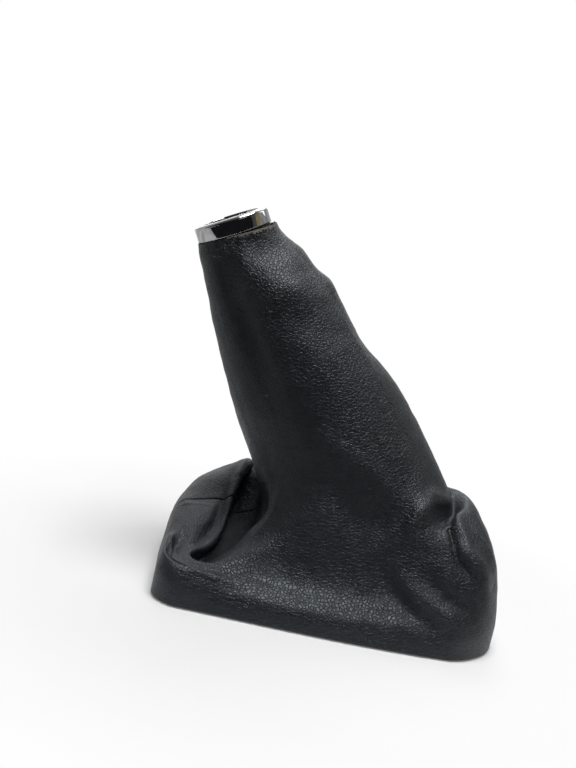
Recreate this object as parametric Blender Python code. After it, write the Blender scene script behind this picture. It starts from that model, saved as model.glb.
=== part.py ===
"""Gear lever surround: a folded leather gaiter on a base frame, with a chrome collar.

The gaiter is sewn from a near and a far leather panel. Its hem is turned under a
plastic base frame, its top edge is glued round a sleeve, and a plated collar caps
the sleeve. It stands on its hem, and its neck leans to the left over a deep fold.
X runs to the right, Y away from the viewer and Z up. Run it with
blender --background --python part.py, or from the text editor.
"""

import bmesh
import bpy
import numpy as np
from mathutils import Matrix, Vector

MM = 0.001

# Leather and fits
LEATHER = 1.2 * MM
GAP = 0.3 * MM
SEAM_GAP = 0.3 * MM
SEAM_DIP = 0.7 * MM
SEAM_ROLL = 1.6 * MM

# Hem outline at the foot
BASE_LENGTH = 160.4 * MM
BASE_DEPTH = 115.0 * MM
LEFT_CORNER_RADIUS = 13.0 * MM
RIGHT_CORNER_RADIUS = 26.0 * MM
LONG_SIDE_BOW = 4.5 * MM
LONG_SIDE_SKEW = 0.6
SHORT_SIDE_BOW = 1.5 * MM
# a high power keeps each side's bow off its neighbours
BOW_POWER = 9
HEM_WIDTH = 10.0 * MM
HEM_RADIUS = 1.3 * MM

# Base frame inside the hem
FRAME_HEIGHT = 6.5 * MM
FRAME_WALL = 2.2 * MM
FRAME_FLANGE_WIDTH = 9.0 * MM
FRAME_FLANGE_THICKNESS = 2.0 * MM
FRAME_DRAFT = 1.2 * MM

# Collar and sleeve, on an axis that leans left and nods to the viewer
COLLAR_DIAMETER = 37.0 * MM
COLLAR_LENGTH = 7.5 * MM
COLLAR_EDGE_RADIUS = 1.8 * MM
COLLAR_LIP = 2.0 * MM
COLLAR_MOUTH_DIAMETER = 28.4 * MM
COLLAR_SHIFT = 77.7 * MM
COLLAR_HEIGHT = 170.2 * MM
COLLAR_LEAN = np.radians(28.5)
COLLAR_NOD = np.radians(4.8)
SLEEVE_DIAMETER = 31.8 * MM
SLEEVE_FOOT_DIAMETER = 34.4 * MM
SLEEVE_WALL = 2.2 * MM
SLEEVE_DROP = 9.0 * MM

# Lowest ring of the neck, above the folds of the base
FOOT_SHIFT = 4.6 * MM
FOOT_HEIGHT = 70.5 * MM
FOOT_WIDTH = 85.4 * MM
FOOT_DEPTH = 74.0 * MM
FOOT_LEAN = np.radians(27.0)

# The neck bows to the right on its way up and swells under the collar, and its
# cut edge flares out and drops on the right
NECK_BOW = 1.6 * MM
BULGE_DROP = 4.0 * MM
BULGE = 1.1 * MM
EDGE_FLARE = 1.6 * MM
EDGE_DROP = 1.2 * MM

# Height and spread of one unit of fold
FOLD_HEIGHT = 1.0 * MM
FOLD_SPREAD = 5.0 * MM

# Neck rings in per cent: how far from foot to collar, how much of the taper in
# width, and how much of the taper in depth
NECK_RINGS = ((31, 17, 22), (62, 46, 51), (90, 84, 84))

# Folds of the base. Each line is one place round the hem, in per cent from the
# left seam by way of the front. Then, for each point up the leather, how far in it
# lies from the hem to the neck's foot and how high, in per cent of that foot.
SHOULDER, BROW, DIP, CROWN, LIP, TUCK, FOOT, NECK = range(1, 9)
FOLD_PLAN = (
    # place, shoulder, brow, dip, crown, lip, tuck, foot
    (0.0, (1, 26), (12, 44), (31, 48), (55, 51), (76, 54), (70, 43), (108, 50)),
    (5.0, (1, 23), (11, 35), (26, 38), (44, 38), (65, 33), (60, 26), (100, 40)),
    (7.8, (1, 20), (6, 30), (14, 27), (29, 30), (50, 28), (47, 21), (91, 36)),
    (10.1, (1, 18), (7, 27), (13, 24), (19, 27), (27, 28), (32, 24), (74, 34)),
    (12.0, (0, 17), (7, 24), (14, 25), (22, 26), (31, 27), (50, 31), (77, 40)),
    (15.0, (0, 14), (7, 20), (17, 24), (29, 26), (44, 30), (62, 36), (85, 50)),
    (21.0, (0, 12), (7, 18), (19, 23), (34, 26), (52, 32), (68, 43), (83, 61)),
    (27.0, (0, 12), (7, 18), (19, 23), (34, 26), (52, 32), (69, 44), (82, 64)),
    (33.0, (0, 12), (7, 19), (19, 26), (34, 35), (49, 47), (65, 61), (80, 79)),
    (37.0, (0, 14), (8, 28), (17, 38), (29, 52), (47, 67), (54, 74), (70, 88)),
    (40.0, (0, 20), (6, 41), (12, 54), (27, 68), (51, 80), (57, 70), (74, 94)),
    (45.0, (0, 17), (6, 43), (12, 59), (22, 74), (45, 90), (56, 81), (69, 98)),
    (50.0, (0, 17), (6, 44), (13, 61), (24, 75), (46, 90), (59, 90), (73, 101)),
    (60.0, (0, 20), (7, 38), (17, 50), (30, 58), (47, 68), (62, 79), (80, 96)),
    (68.0, (0, 16), (11, 26), (22, 33), (34, 40), (48, 50), (61, 62), (78, 81)),
    (76.0, (0, 17), (15, 27), (30, 33), (42, 38), (59, 45), (76, 55), (89, 71)),
    (84.0, (0, 20), (11, 31), (25, 40), (38, 47), (55, 54), (74, 62), (90, 77)),
    (90.0, (0, 20), (10, 34), (21, 46), (34, 56), (59, 66), (73, 70), (86, 74)),
    (92.5, (0, 23), (11, 40), (24, 52), (42, 61), (78, 74), (84, 68), (96, 68)),
    (95.5, (0, 26), (13, 44), (28, 54), (47, 61), (80, 68), (77, 58), (106, 60)),
)

# Softer ridges and valleys pressed into that surface: height and spread in fold
# units, then the path as places round the hem and points up the leather. Near both
# ends a crease fades away.
CREASE_FADE = 0.6
CREASE_END = 0.03
CREASES = (
    # valleys and ridges that fan out to the front right corner
    (-2.2, 0.9, ((32.2, 5.2), (33.3, 3.6), (34.3, 2.2), (35, 1.3))),
    (2.0, 0.9, ((33.5, 4.9), (34.6, 3.6), (35.8, 2.5), (37, 1.6))),
    (-1.8, 0.8, ((35.2, 4.5), (36.3, 3.4), (37.5, 2.4), (38.6, 1.7))),
    (2.2, 0.8, ((38.5, 4.6), (39.2, 3.9), (39.7, 3.0), (40.2, 2.0))),
    # hollow left of the right fold, with its rim arching over to the right seam
    (-2.0, 1.0, ((36.8, 6.1), (40, 6.1), (43, 6.0))),
    (2.2, 0.8, ((49, 6.5), (44, 6.6), (40, 6.9), (37, 6.8), (35.4, 6.2), (36.2, 5.3))),
    # arc across the front of the neck's foot and the hollow below it
    (1.3, 1.0, ((22.3, 8.45), (26.3, 8.2), (31.7, 7.65), (36, 6.9))),
    (-2.2, 1.8, ((22, 7.9), (26.5, 7.4), (31, 6.9), (33.5, 6.5))),
    # groove down the neck's near left, and the swelling to its right
    (-2.2, 1.5, ((16.5, 11.7), (17.1, 10.0), (16.2, 8.8))),
    (1.6, 1.8, ((24, 11.0), (30, 10.7), (36, 10.6))),
    (-1.0, 1.8, ((27, 10.0), (33, 9.8), (40, 9.7))),
    # swellings and a long dent on the neck's right side
    (1.5, 1.4, ((44, 10.75), (50, 10.75), (56, 10.75))),
    (2.2, 1.4, ((43, 10.25), (50, 10.25), (57, 10.25))),
    (-3.4, 3.2, ((41, 9.4), (50, 9.42), (59, 9.45))),
)

# Mesh steps: along each span up the leather, and round each stretch of the hem
SPAN_STEPS = (2, 2, 1, 2, 3, 3, 2, 3, 3, 3, 3, 2, 1)
NEAR_STEPS = ((0.0, 13.0, 14), (13.0, 31.0, 8), (31.0, 42.0, 16), (42.0, 50.0, 6))
FAR_STEPS = ((50.0, 60.0, 6), (60.0, 86.0, 9), (86.0, 100.0, 12))
HEM_ROWS = 4
TURNED_STEPS = 64
FILLET_STEPS = 4
PATH_STEPS = 8
SHARP_ANGLE = np.radians(40)


def clear_scene():
    for thing in list(bpy.data.objects):
        bpy.data.objects.remove(thing)


def make_material(name, colour, roughness, metallic=0.0):
    material = bpy.data.materials.new(name)
    material.use_nodes = True
    shader = material.node_tree.nodes["Principled BSDF"]
    shader.inputs["Base Color"].default_value = (*colour, 1.0)
    shader.inputs["Roughness"].default_value = roughness
    shader.inputs["Metallic"].default_value = metallic
    return material


def add_object(name, mesh, material):
    mesh.shade_smooth()
    mesh.set_sharp_from_angle(angle=SHARP_ANGLE)
    mesh.materials.append(material)
    thing = bpy.data.objects.new(name, mesh)
    bpy.context.scene.collection.objects.link(thing)
    return thing


def outline(place):
    """The hem's rounded and bowed rectangle at places 0 to 1 round it."""
    half_length = BASE_LENGTH / 2
    half_depth = BASE_DEPTH / 2
    left, right = LEFT_CORNER_RADIUS, RIGHT_CORNER_RADIUS
    runs = np.array(
        [
            half_depth - left,
            np.pi / 2 * left,
            BASE_LENGTH - left - right,
            np.pi / 2 * right,
            half_depth - right,
        ]
    )
    ends = np.concatenate([[0], np.cumsum(runs)])
    place = np.asarray(place) % 1.0
    far = place > 0.5
    run = np.where(far, 1 - place, place) * 2 * ends[-1]
    left_turn = np.clip((run - ends[1]) / left, 0, np.pi / 2)
    right_turn = np.clip((run - ends[3]) / right, 0, np.pi / 2)
    x = -half_length + left * (1 - np.cos(left_turn))
    x = x + np.clip(run - ends[2], 0, runs[2]) + right * np.sin(right_turn)
    y = -np.clip(run, 0, runs[0]) - left * np.sin(left_turn)
    y = y + right * (1 - np.cos(right_turn)) + np.clip(run - ends[4], 0, runs[4])
    along_x = np.clip(x / half_length, -1, 1)
    along_y = np.clip(y / half_depth, -1, 1)
    x = x + SHORT_SIDE_BOW * (1 - along_y**2) * along_x**BOW_POWER
    long_bow = LONG_SIDE_BOW * (1 - along_x**2) * (1 + LONG_SIDE_SKEW * along_x)
    y = y + long_bow * along_y**BOW_POWER
    return np.stack([x, np.where(far, -y, y)], axis=-1)


def outward(place):
    """Unit normals of the outline, pointing away from the middle."""
    step = 1e-4
    along = outline(place + step) - outline(place - step)
    along = along / np.linalg.norm(along, axis=1)[:, None]
    return np.stack([along[:, 1], -along[:, 0]], axis=-1)


def ring_axes(lean, nod):
    """Axis, width and depth directions of a ring that leans left and nods forward."""
    axis = np.array([-np.sin(lean) * np.cos(nod), -np.sin(nod), np.cos(lean) * np.cos(nod)])
    width = np.array([np.cos(lean), 0.0, np.sin(lean)])
    return axis, width, np.cross(axis, width)


def collar_frame():
    """Middle of the collar's lower face, and its three directions."""
    axis, width, depth = ring_axes(COLLAR_LEAN, COLLAR_NOD)
    middle = np.array([-COLLAR_SHIFT, 0.0, COLLAR_HEIGHT])
    return middle - axis * COLLAR_LENGTH / 2, axis, width, depth


def ring(place, centre, half_width, half_depth, width, depth):
    """Points of an ellipse. The half sizes may differ from place to place."""
    turn = 2 * np.pi * np.asarray(place)[:, None]
    return centre - half_width * np.cos(turn) * width - half_depth * np.sin(turn) * depth


def neck_rings(place):
    """Rings of the neck from its foot up to the edge under the collar."""
    lower, axis, width, depth = collar_frame()
    foot = np.array([-FOOT_SHIFT, 0.0, FOOT_HEIGHT])
    to_right = np.clip(-np.cos(2 * np.pi * np.asarray(place)), 0, 1)[:, None]
    edge = SLEEVE_FOOT_DIAMETER / 2 + GAP + LEATHER + EDGE_FLARE * to_right
    swell = COLLAR_DIAMETER / 2 + BULGE + EDGE_FLARE * to_right
    drop = GAP + EDGE_DROP * to_right
    rings = []
    for way, in_width, in_depth in ((0, 0, 0),) + NECK_RINGS:
        share = way / 100
        lean = FOOT_LEAN + (COLLAR_LEAN - FOOT_LEAN) * share
        _, across, back = ring_axes(lean, COLLAR_NOD * share**2)
        centre = foot + (lower - foot) * share
        centre[0] += NECK_BOW * 4 * share * (1 - share)
        half_width = FOOT_WIDTH / 2 + (COLLAR_DIAMETER - FOOT_WIDTH) / 2 * in_width / 100
        half_depth = FOOT_DEPTH / 2 + (COLLAR_DIAMETER - FOOT_DEPTH) / 2 * in_depth / 100
        rings.append(ring(place, centre, half_width, half_depth, across, back))
    rings.append(ring(place, lower - axis * (BULGE_DROP + drop), swell, swell, width, depth))
    rings.append(ring(place, lower - axis * drop, edge, edge, width, depth))
    return rings


def round_the_loop(stations, values, place):
    """Smooth curve through values at stations, closed on itself."""
    at = np.concatenate([stations[-2:] - 1, stations, stations[:2] + 1])
    value = np.concatenate([values[-2:], values, values[:2]])
    step = np.diff(at)
    slope = np.diff(value, axis=0) / step[:, None]
    before, after = step[:-1, None], step[1:, None]
    tangent = (slope[:-1] * after + slope[1:] * before) / (before + after)
    place = np.asarray(place) % 1.0
    k = np.clip(np.searchsorted(at, place, side="right") - 1, 1, len(at) - 3)
    t = ((place - at[k]) / step[k])[:, None]
    h = step[k][:, None]
    start = (2 * t**3 - 3 * t**2 + 1) * value[k] + (t**3 - 2 * t**2 + t) * h * tangent[k - 1]
    end = (3 * t**2 - 2 * t**3) * value[k + 1] + (t**3 - t**2) * h * tangent[k]
    return start + end


def control_points(place):
    """Points up the leather at each place: hem, folds of the base, then the neck."""
    hem = outline(place)
    rings = neck_rings(place)
    inward = rings[0][:, :2] - hem
    stations = np.array([line[0] for line in FOLD_PLAN]) / 100
    points = [np.column_stack([hem, np.full(len(hem), HEM_RADIUS)])]
    for level in range(SHOULDER, NECK):
        plan = np.array([line[level] for line in FOLD_PLAN]) / 100
        share = round_the_loop(stations, plan, place)
        flat = hem + inward * share[:, :1]
        points.append(np.column_stack([flat, share[:, 1] * FOOT_HEIGHT]))
    return np.array(points + rings)


def through(points, steps):
    """Centripetal spline through points[j], with steps[j] rows in span j."""
    first = 2 * points[0] - points[1]
    last = 2 * points[-1] - points[-2]
    chain = np.concatenate([[first], points, [last]])
    length = np.linalg.norm(np.diff(chain, axis=0), axis=-1)
    knots = np.concatenate([np.zeros((1, points.shape[1])), np.cumsum(np.sqrt(length), axis=0)])
    rows = []
    for j, count in enumerate(steps):
        p0, p1, p2, p3 = chain[j : j + 4]
        t0, t1, t2, t3 = knots[j : j + 4, :, None]
        for f in np.arange(count) / count:
            t = t1 + (t2 - t1) * f
            a1 = ((t1 - t) * p0 + (t - t0) * p1) / (t1 - t0)
            a2 = ((t2 - t) * p1 + (t - t1) * p2) / (t2 - t1)
            a3 = ((t3 - t) * p2 + (t - t2) * p3) / (t3 - t2)
            b1 = ((t2 - t) * a1 + (t - t0) * a2) / (t2 - t0)
            b2 = ((t3 - t) * a2 + (t - t1) * a3) / (t3 - t1)
            rows.append(((t2 - t) * b1 + (t - t1) * b2) / (t2 - t1))
    rows.append(points[-1])
    return np.array(rows)


def surface_normals(grid):
    """Outward unit normals of a grid that closes on itself round the hem."""
    across = np.roll(grid, -1, axis=1) - np.roll(grid, 1, axis=1)
    up = np.gradient(grid, axis=0)
    normal = np.cross(across, up)
    return normal / np.linalg.norm(normal, axis=-1, keepdims=True)


def crease_path(path):
    """Points in space along a crease, read from the smooth surface."""
    knots = np.array(path, float)
    ends = np.array([2 * knots[0] - knots[1], 2 * knots[-1] - knots[-2]])
    chain = np.concatenate([ends[:1], knots, ends[1:]])
    spots = []
    for a, b, c, d in zip(chain, chain[1:], chain[2:], chain[3:]):
        for f in np.arange(PATH_STEPS) / PATH_STEPS:
            cubic = (3 * b - a - 3 * c + d) * f**3
            spots.append((2 * b + (c - a) * f + (2 * a - 5 * b + 4 * c - d) * f**2 + cubic) / 2)
    spots.append(knots[-1])
    spots = np.array(spots)
    levels = through(control_points(spots[:, 0] / 100), [PATH_STEPS] * len(SPAN_STEPS))
    row = np.clip(spots[:, 1] * PATH_STEPS, 0, len(levels) - 1.001)
    low = row.astype(int)
    column = np.arange(len(spots))
    share = (row - low)[:, None]
    return levels[low, column] * (1 - share) + levels[low + 1, column] * share


def press_creases(grid):
    """Raise the ridges and sink the valleys along the surface's normals."""
    lift = np.zeros(grid.shape[:2])
    for height, spread, path in CREASES:
        line = crease_path(path)
        nearest = np.full(grid.shape[:2], np.inf)
        along = np.zeros(grid.shape[:2])
        for i, (start, end) in enumerate(zip(line, line[1:])):
            run = end - start
            share = np.clip((grid - start) @ run / (run @ run), 0, 1)
            away = np.linalg.norm(grid - start - share[..., None] * run, axis=-1)
            closer = away < nearest
            nearest[closer] = away[closer]
            along[closer] = ((i + share) / (len(line) - 1))[closer]
        fade = np.sin(np.pi * np.clip(along, CREASE_END, 1 - CREASE_END)) ** CREASE_FADE
        lift += height * fade * np.exp(-((nearest / (spread * FOLD_SPREAD)) ** 2))
    return grid + surface_normals(grid) * (lift * FOLD_HEIGHT)[..., None]


def hem_rows(place, rise):
    """Outer skin of the turned-under hem, rise above the table at its flat."""
    hem = outline(place)
    away = outward(place)
    inset = HEM_RADIUS if rise == 0 else LEATHER
    flat = np.full(len(hem), rise)
    rows = []
    for depth in (HEM_WIDTH, HEM_WIDTH / 2, inset):
        rows.append(np.column_stack([hem - away * depth, flat]))
    return rows


def leather_depths(outer):
    """Ways in to the inner skin, shorter where a fold is too tight for the full leather."""
    depths = surface_normals(outer) * LEATHER
    for _ in range(2):
        depths = (np.roll(depths, 1, axis=1) + 2 * depths + np.roll(depths, -1, axis=1)) / 4
        padded = np.concatenate([depths[:1], depths, depths[-1:]])
        depths = (padded[:-2] + 2 * padded[1:-1] + padded[2:]) / 4
    return depths


def leather_skins(place):
    """Outer and inner skin of the whole gaiter, from the hem's edge to its top."""
    outer = press_creases(through(control_points(place), SPAN_STEPS))
    inner = outer - leather_depths(outer)
    turn = outline(place) - outward(place) * HEM_RADIUS * (1 - np.cos(np.pi / 4))
    corner = np.column_stack([turn, np.full(len(turn), HEM_RADIUS * (1 - np.sin(np.pi / 4)))])
    outer = np.array(hem_rows(place, 0.0) + [corner] + list(outer))
    below = hem_rows(place, LEATHER)
    inner = np.array(below + [below[-1] + (inner[0] - below[-1]) / 2] + list(inner))
    return outer, inner


def places_of(stretches, perimeter):
    """Places of a panel's columns, with one more close to each seam."""
    places = []
    for start, end, count in stretches:
        places += list(start + (end - start) * np.arange(count) / count)
    places.append(stretches[-1][1])
    roll = 100 * SEAM_ROLL / perimeter
    return np.array([places[0], places[0] + roll] + places[1:-1] + [places[-1] - roll, places[-1]])


def opened_seam(skin, normals, side):
    """Moves the edge column off the seam and, above the hem, dips it as a turned edge."""
    along = skin[:, side] - skin[:, 1 if side == 0 else -2]
    along = along / np.linalg.norm(along, axis=-1, keepdims=True)
    dip = SEAM_DIP * np.clip((np.arange(len(skin)) - HEM_ROWS) / 2, 0, 1)
    moved = skin.copy()
    moved[:, side] = skin[:, side] - along * SEAM_GAP / 2 - normals[:, side] * dip[:, None]
    return moved


def make_panel(name, skins, normals, material):
    """One leather panel as a closed shell between its outer and inner skin."""
    outer, inner = [opened_seam(opened_seam(skin, normals, 0), normals, -1) for skin in skins]
    rows, columns, _ = outer.shape
    total = rows * columns
    index = np.arange(total).reshape(rows, columns)
    faces = []
    for r in range(rows - 1):
        for c in range(columns - 1):
            a, b, d, e = index[r, c], index[r, c + 1], index[r + 1, c + 1], index[r + 1, c]
            faces.append((a, b, d, e))
            faces.append((total + e, total + d, total + b, total + a))
    border = list(index[0]) + list(index[1:, -1]) + list(index[-1, -2::-1]) + list(index[-2:0:-1, 0])
    for a, b in zip(border, border[1:] + border[:1]):
        faces.append((b, a, total + a, total + b))
    mesh = bpy.data.meshes.new(name)
    points = np.concatenate([outer.reshape(-1, 3), inner.reshape(-1, 3)])
    mesh.from_pydata(points.tolist(), [], [tuple(int(i) for i in face) for face in faces])
    return add_object(name, mesh, material)


def make_panels(near, far, places, material):
    """The near panel runs from the left seam by the front, the far one by the back."""
    skins = leather_skins(places)
    normals = surface_normals(skins[0])
    near_columns = np.arange(len(near))
    far_columns = np.append(np.arange(len(near) - 1, len(places)), 0)
    panels = []
    for name, columns in (("near_panel", near_columns), ("far_panel", far_columns)):
        own = [skin[:, columns] for skin in skins]
        panels.append(make_panel(name, own, normals[:, columns], material))
    return panels


def make_base_frame(places, material):
    """L-shaped plastic frame swept round the inside of the hem."""
    hem, away = outline(places), outward(places)
    around = len(places)
    skirt = LEATHER + GAP
    floor = LEATHER + GAP
    top = floor + FRAME_HEIGHT
    section = (
        (skirt, floor),
        (skirt + FRAME_DRAFT, top),
        (skirt + FRAME_DRAFT + FRAME_WALL, top),
        (skirt + FRAME_WALL + FRAME_DRAFT / 2, floor + FRAME_FLANGE_THICKNESS),
        (skirt + FRAME_FLANGE_WIDTH, floor + FRAME_FLANGE_THICKNESS),
        (skirt + FRAME_FLANGE_WIDTH, floor),
    )
    body = bmesh.new()
    loops = []
    for inset, height in section:
        flat = hem - away * inset
        loops.append([body.verts.new((x, y, height)) for x, y in flat])
    for lower, upper in zip(loops, loops[1:] + loops[:1]):
        for i in range(around):
            j = (i + 1) % around
            body.faces.new((lower[i], lower[j], upper[j], upper[i]))
    bmesh.ops.recalc_face_normals(body, faces=body.faces)
    mesh = bpy.data.meshes.new("base_frame")
    body.to_mesh(mesh)
    body.free()
    return add_object("base_frame", mesh, material)


def fillet(radius, height, size, start):
    """Points of a quarter round in the plane of radius and height."""
    turns = start + np.linspace(0, np.pi / 2, FILLET_STEPS + 1)
    return [(radius + size * np.cos(turn), height + size * np.sin(turn)) for turn in turns]


def make_turned(name, profile, material):
    """Spins a closed profile of radius and height about the collar's axis."""
    body = bmesh.new()
    corners = [body.verts.new((radius, 0, height)) for radius, height in profile]
    edges = [body.edges.new(pair) for pair in zip(corners, corners[1:] + corners[:1])]
    bmesh.ops.spin(
        body,
        geom=corners + edges,
        cent=(0, 0, 0),
        axis=(0, 0, 1),
        angle=2 * np.pi,
        steps=TURNED_STEPS,
        use_merge=True,
    )
    bmesh.ops.remove_doubles(body, verts=body.verts, dist=1e-6)
    bmesh.ops.recalc_face_normals(body, faces=body.faces)
    lower, axis, width, depth = collar_frame()
    place = Matrix((width, depth, axis)).transposed().to_4x4()
    place.translation = Vector(lower)
    mesh = bpy.data.meshes.new(name)
    body.to_mesh(mesh)
    body.free()
    thing = add_object(name, mesh, material)
    thing.matrix_world = place
    return thing


def make_chrome_collar(material):
    """Plated cap ring: rounded top edge, a lip over the sleeve and a recess for it."""
    outside = COLLAR_DIAMETER / 2
    recess = SLEEVE_DIAMETER / 2 + GAP
    mouth = COLLAR_MOUTH_DIAMETER / 2
    edge = COLLAR_EDGE_RADIUS
    bead = COLLAR_LIP / 4
    profile = [(recess, 0), (outside, 0)]
    profile += fillet(outside - edge, COLLAR_LENGTH - edge, edge, 0.0)
    profile += fillet(mouth + bead, COLLAR_LENGTH - bead, bead, np.pi / 2)
    profile += [(mouth, COLLAR_LENGTH - COLLAR_LIP), (recess, COLLAR_LENGTH - COLLAR_LIP)]
    return make_turned("chrome_collar", profile, material)


def make_collar_sleeve(material):
    """Plastic tube inside the collar, with a wider foot that the leather is glued round."""
    outside = SLEEVE_DIAMETER / 2
    inside = outside - SLEEVE_WALL
    foot = SLEEVE_FOOT_DIAMETER / 2
    top = COLLAR_LENGTH - COLLAR_LIP - GAP
    chamfer = SLEEVE_WALL / 3
    profile = [
        (inside, -SLEEVE_DROP),
        (foot - chamfer, -SLEEVE_DROP),
        (foot, -SLEEVE_DROP + chamfer),
        (foot, -GAP),
        (outside, -GAP),
        (outside, top),
        (inside, top),
    ]
    return make_turned("collar_sleeve", profile, material)


def stand_on_origin(things):
    """Hangs the pieces on one empty, so that the middle of their box is the origin."""
    bpy.context.view_layer.update()
    corners = np.concatenate(
        [[thing.matrix_world @ vertex.co for vertex in thing.data.vertices] for thing in things]
    )
    middle = (corners.min(axis=0) + corners.max(axis=0)) / 2
    stand = bpy.data.objects.new("surround", None)
    bpy.context.scene.collection.objects.link(stand)
    for thing in things:
        thing.parent = stand
    stand.location = (-middle[0], -middle[1], 0.0)
    bpy.context.view_layer.update()


def main():
    clear_scene()
    leather = make_material("black_leather", (0.022, 0.022, 0.025), 0.42)
    plastic = make_material("black_plastic", (0.020, 0.020, 0.021), 0.5)
    chrome = make_material("chrome_plate", (0.80, 0.80, 0.82), 0.08, 1.0)
    perimeter = 2 * (BASE_LENGTH + BASE_DEPTH)
    near = places_of(NEAR_STEPS, perimeter)
    far = places_of(FAR_STEPS, perimeter)
    places = np.concatenate([near, far[1:-1]]) / 100
    things = make_panels(near, far, places, leather)
    things.append(make_base_frame(places, plastic))
    things.append(make_collar_sleeve(plastic))
    things.append(make_chrome_collar(chrome))
    stand_on_origin(things)


main()
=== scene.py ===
# %% [markdown]
# A gear lever surround on a white table: a black leather gaiter sewn from two
# panels, a plated collar round its top, a sleeve inside the collar and a plastic
# frame inside the hem. The solid model gives each piece its place. This file
# dresses it: every soft piece is built again with finer folds, and every surface
# gets its grain, gloss and wear.

import bmesh
import bpy
import numpy as np
from mathutils import Matrix, Vector


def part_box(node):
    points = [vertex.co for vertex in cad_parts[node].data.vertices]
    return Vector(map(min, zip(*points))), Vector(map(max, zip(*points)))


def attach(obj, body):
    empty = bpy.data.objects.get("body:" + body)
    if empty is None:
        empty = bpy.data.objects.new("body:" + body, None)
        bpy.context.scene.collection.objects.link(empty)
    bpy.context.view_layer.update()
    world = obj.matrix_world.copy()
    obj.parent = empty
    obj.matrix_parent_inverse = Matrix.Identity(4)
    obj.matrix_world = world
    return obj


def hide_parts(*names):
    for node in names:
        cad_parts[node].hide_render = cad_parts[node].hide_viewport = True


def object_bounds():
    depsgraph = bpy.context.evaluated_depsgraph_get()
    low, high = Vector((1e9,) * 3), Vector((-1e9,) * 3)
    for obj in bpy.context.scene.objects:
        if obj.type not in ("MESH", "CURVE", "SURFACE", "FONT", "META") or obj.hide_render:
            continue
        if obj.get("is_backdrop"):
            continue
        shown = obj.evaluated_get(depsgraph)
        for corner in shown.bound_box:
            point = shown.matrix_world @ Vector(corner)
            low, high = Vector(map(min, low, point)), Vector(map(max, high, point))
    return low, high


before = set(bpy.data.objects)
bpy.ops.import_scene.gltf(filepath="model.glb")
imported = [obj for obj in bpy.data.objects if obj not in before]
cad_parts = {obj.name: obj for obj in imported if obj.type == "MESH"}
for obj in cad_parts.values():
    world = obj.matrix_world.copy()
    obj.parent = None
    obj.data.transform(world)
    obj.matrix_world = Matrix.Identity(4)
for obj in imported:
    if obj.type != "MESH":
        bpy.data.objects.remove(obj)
cad_box = [list(corner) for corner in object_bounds()]
MM = 0.001


def in_mm(box):
    return [[round(float(value) / MM, 1) for value in corner] for corner in box]


print("solid model's box:", in_mm(cad_box))

# %% [markdown]
# Before any form is made, the camera is set where the photograph was taken from:
# about half a metre away, a little above the collar, looking slightly down and
# rolled clockwise. An early camera lets every later cell be judged in the frame of
# the photograph. A camera matrix holds its three directions as columns, so it can be
# worked out from three angles without turning anything by hand.

# %% Camera at the photograph's place
CAMERA_PLACE = np.array([-51.06, -451.35, 165.3]) * MM
CAMERA_TURN, CAMERA_TILT, CAMERA_ROLL = np.radians([2.71, -8.26, 11.73])
FOCAL_PIXELS = 930.2
IMAGE_HEIGHT = 768
SENSOR_HEIGHT = 36.0


def camera_matrix():
    """Directions of the picture's right, its up and its back, then the place."""
    ahead = np.array(
        [
            np.sin(CAMERA_TURN) * np.cos(CAMERA_TILT),
            np.cos(CAMERA_TURN) * np.cos(CAMERA_TILT),
            np.sin(CAMERA_TILT),
        ]
    )
    level = np.array([np.cos(CAMERA_TURN), -np.sin(CAMERA_TURN), 0.0])
    above = np.cross(level, ahead)
    right = np.cos(CAMERA_ROLL) * level + np.sin(CAMERA_ROLL) * above
    up = np.cos(CAMERA_ROLL) * above - np.sin(CAMERA_ROLL) * level
    matrix = Matrix((right, up, -ahead)).transposed().to_4x4()
    matrix.translation = Vector(CAMERA_PLACE)
    return matrix


view = bpy.data.cameras.new("view")
view.sensor_fit = "VERTICAL"
view.sensor_height = SENSOR_HEIGHT
view.lens = FOCAL_PIXELS / IMAGE_HEIGHT * SENSOR_HEIGHT
view.clip_start = 0.01
camera = bpy.data.objects.new("view", view)
camera.matrix_world = camera_matrix()
bpy.context.scene.collection.objects.link(camera)
bpy.context.scene.camera = camera
print("lens:", round(view.lens, 1), "mm on a sensor", SENSOR_HEIGHT, "mm high")

# %% [markdown]
# The hem follows a rectangle with rounded corners and slightly bowed sides. Every
# later form is placed by its share of the way round this outline, from 0 at the left
# seam, by the front and the right seam, and back by the far side to 1. A formula is
# used and not a drawn curve, because the panels, the frame and the staples all have
# to follow exactly the same line.

# %% The hem's outline
BASE_LENGTH = 160.4 * MM
BASE_DEPTH = 115.0 * MM
LEFT_CORNER_RADIUS = 13.0 * MM
RIGHT_CORNER_RADIUS = 26.0 * MM
LONG_SIDE_BOW = 4.5 * MM
LONG_SIDE_SKEW = 0.6
SHORT_SIDE_BOW = 1.5 * MM
# a high power keeps each side's bow off its neighbours
BOW_POWER = 9


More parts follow.
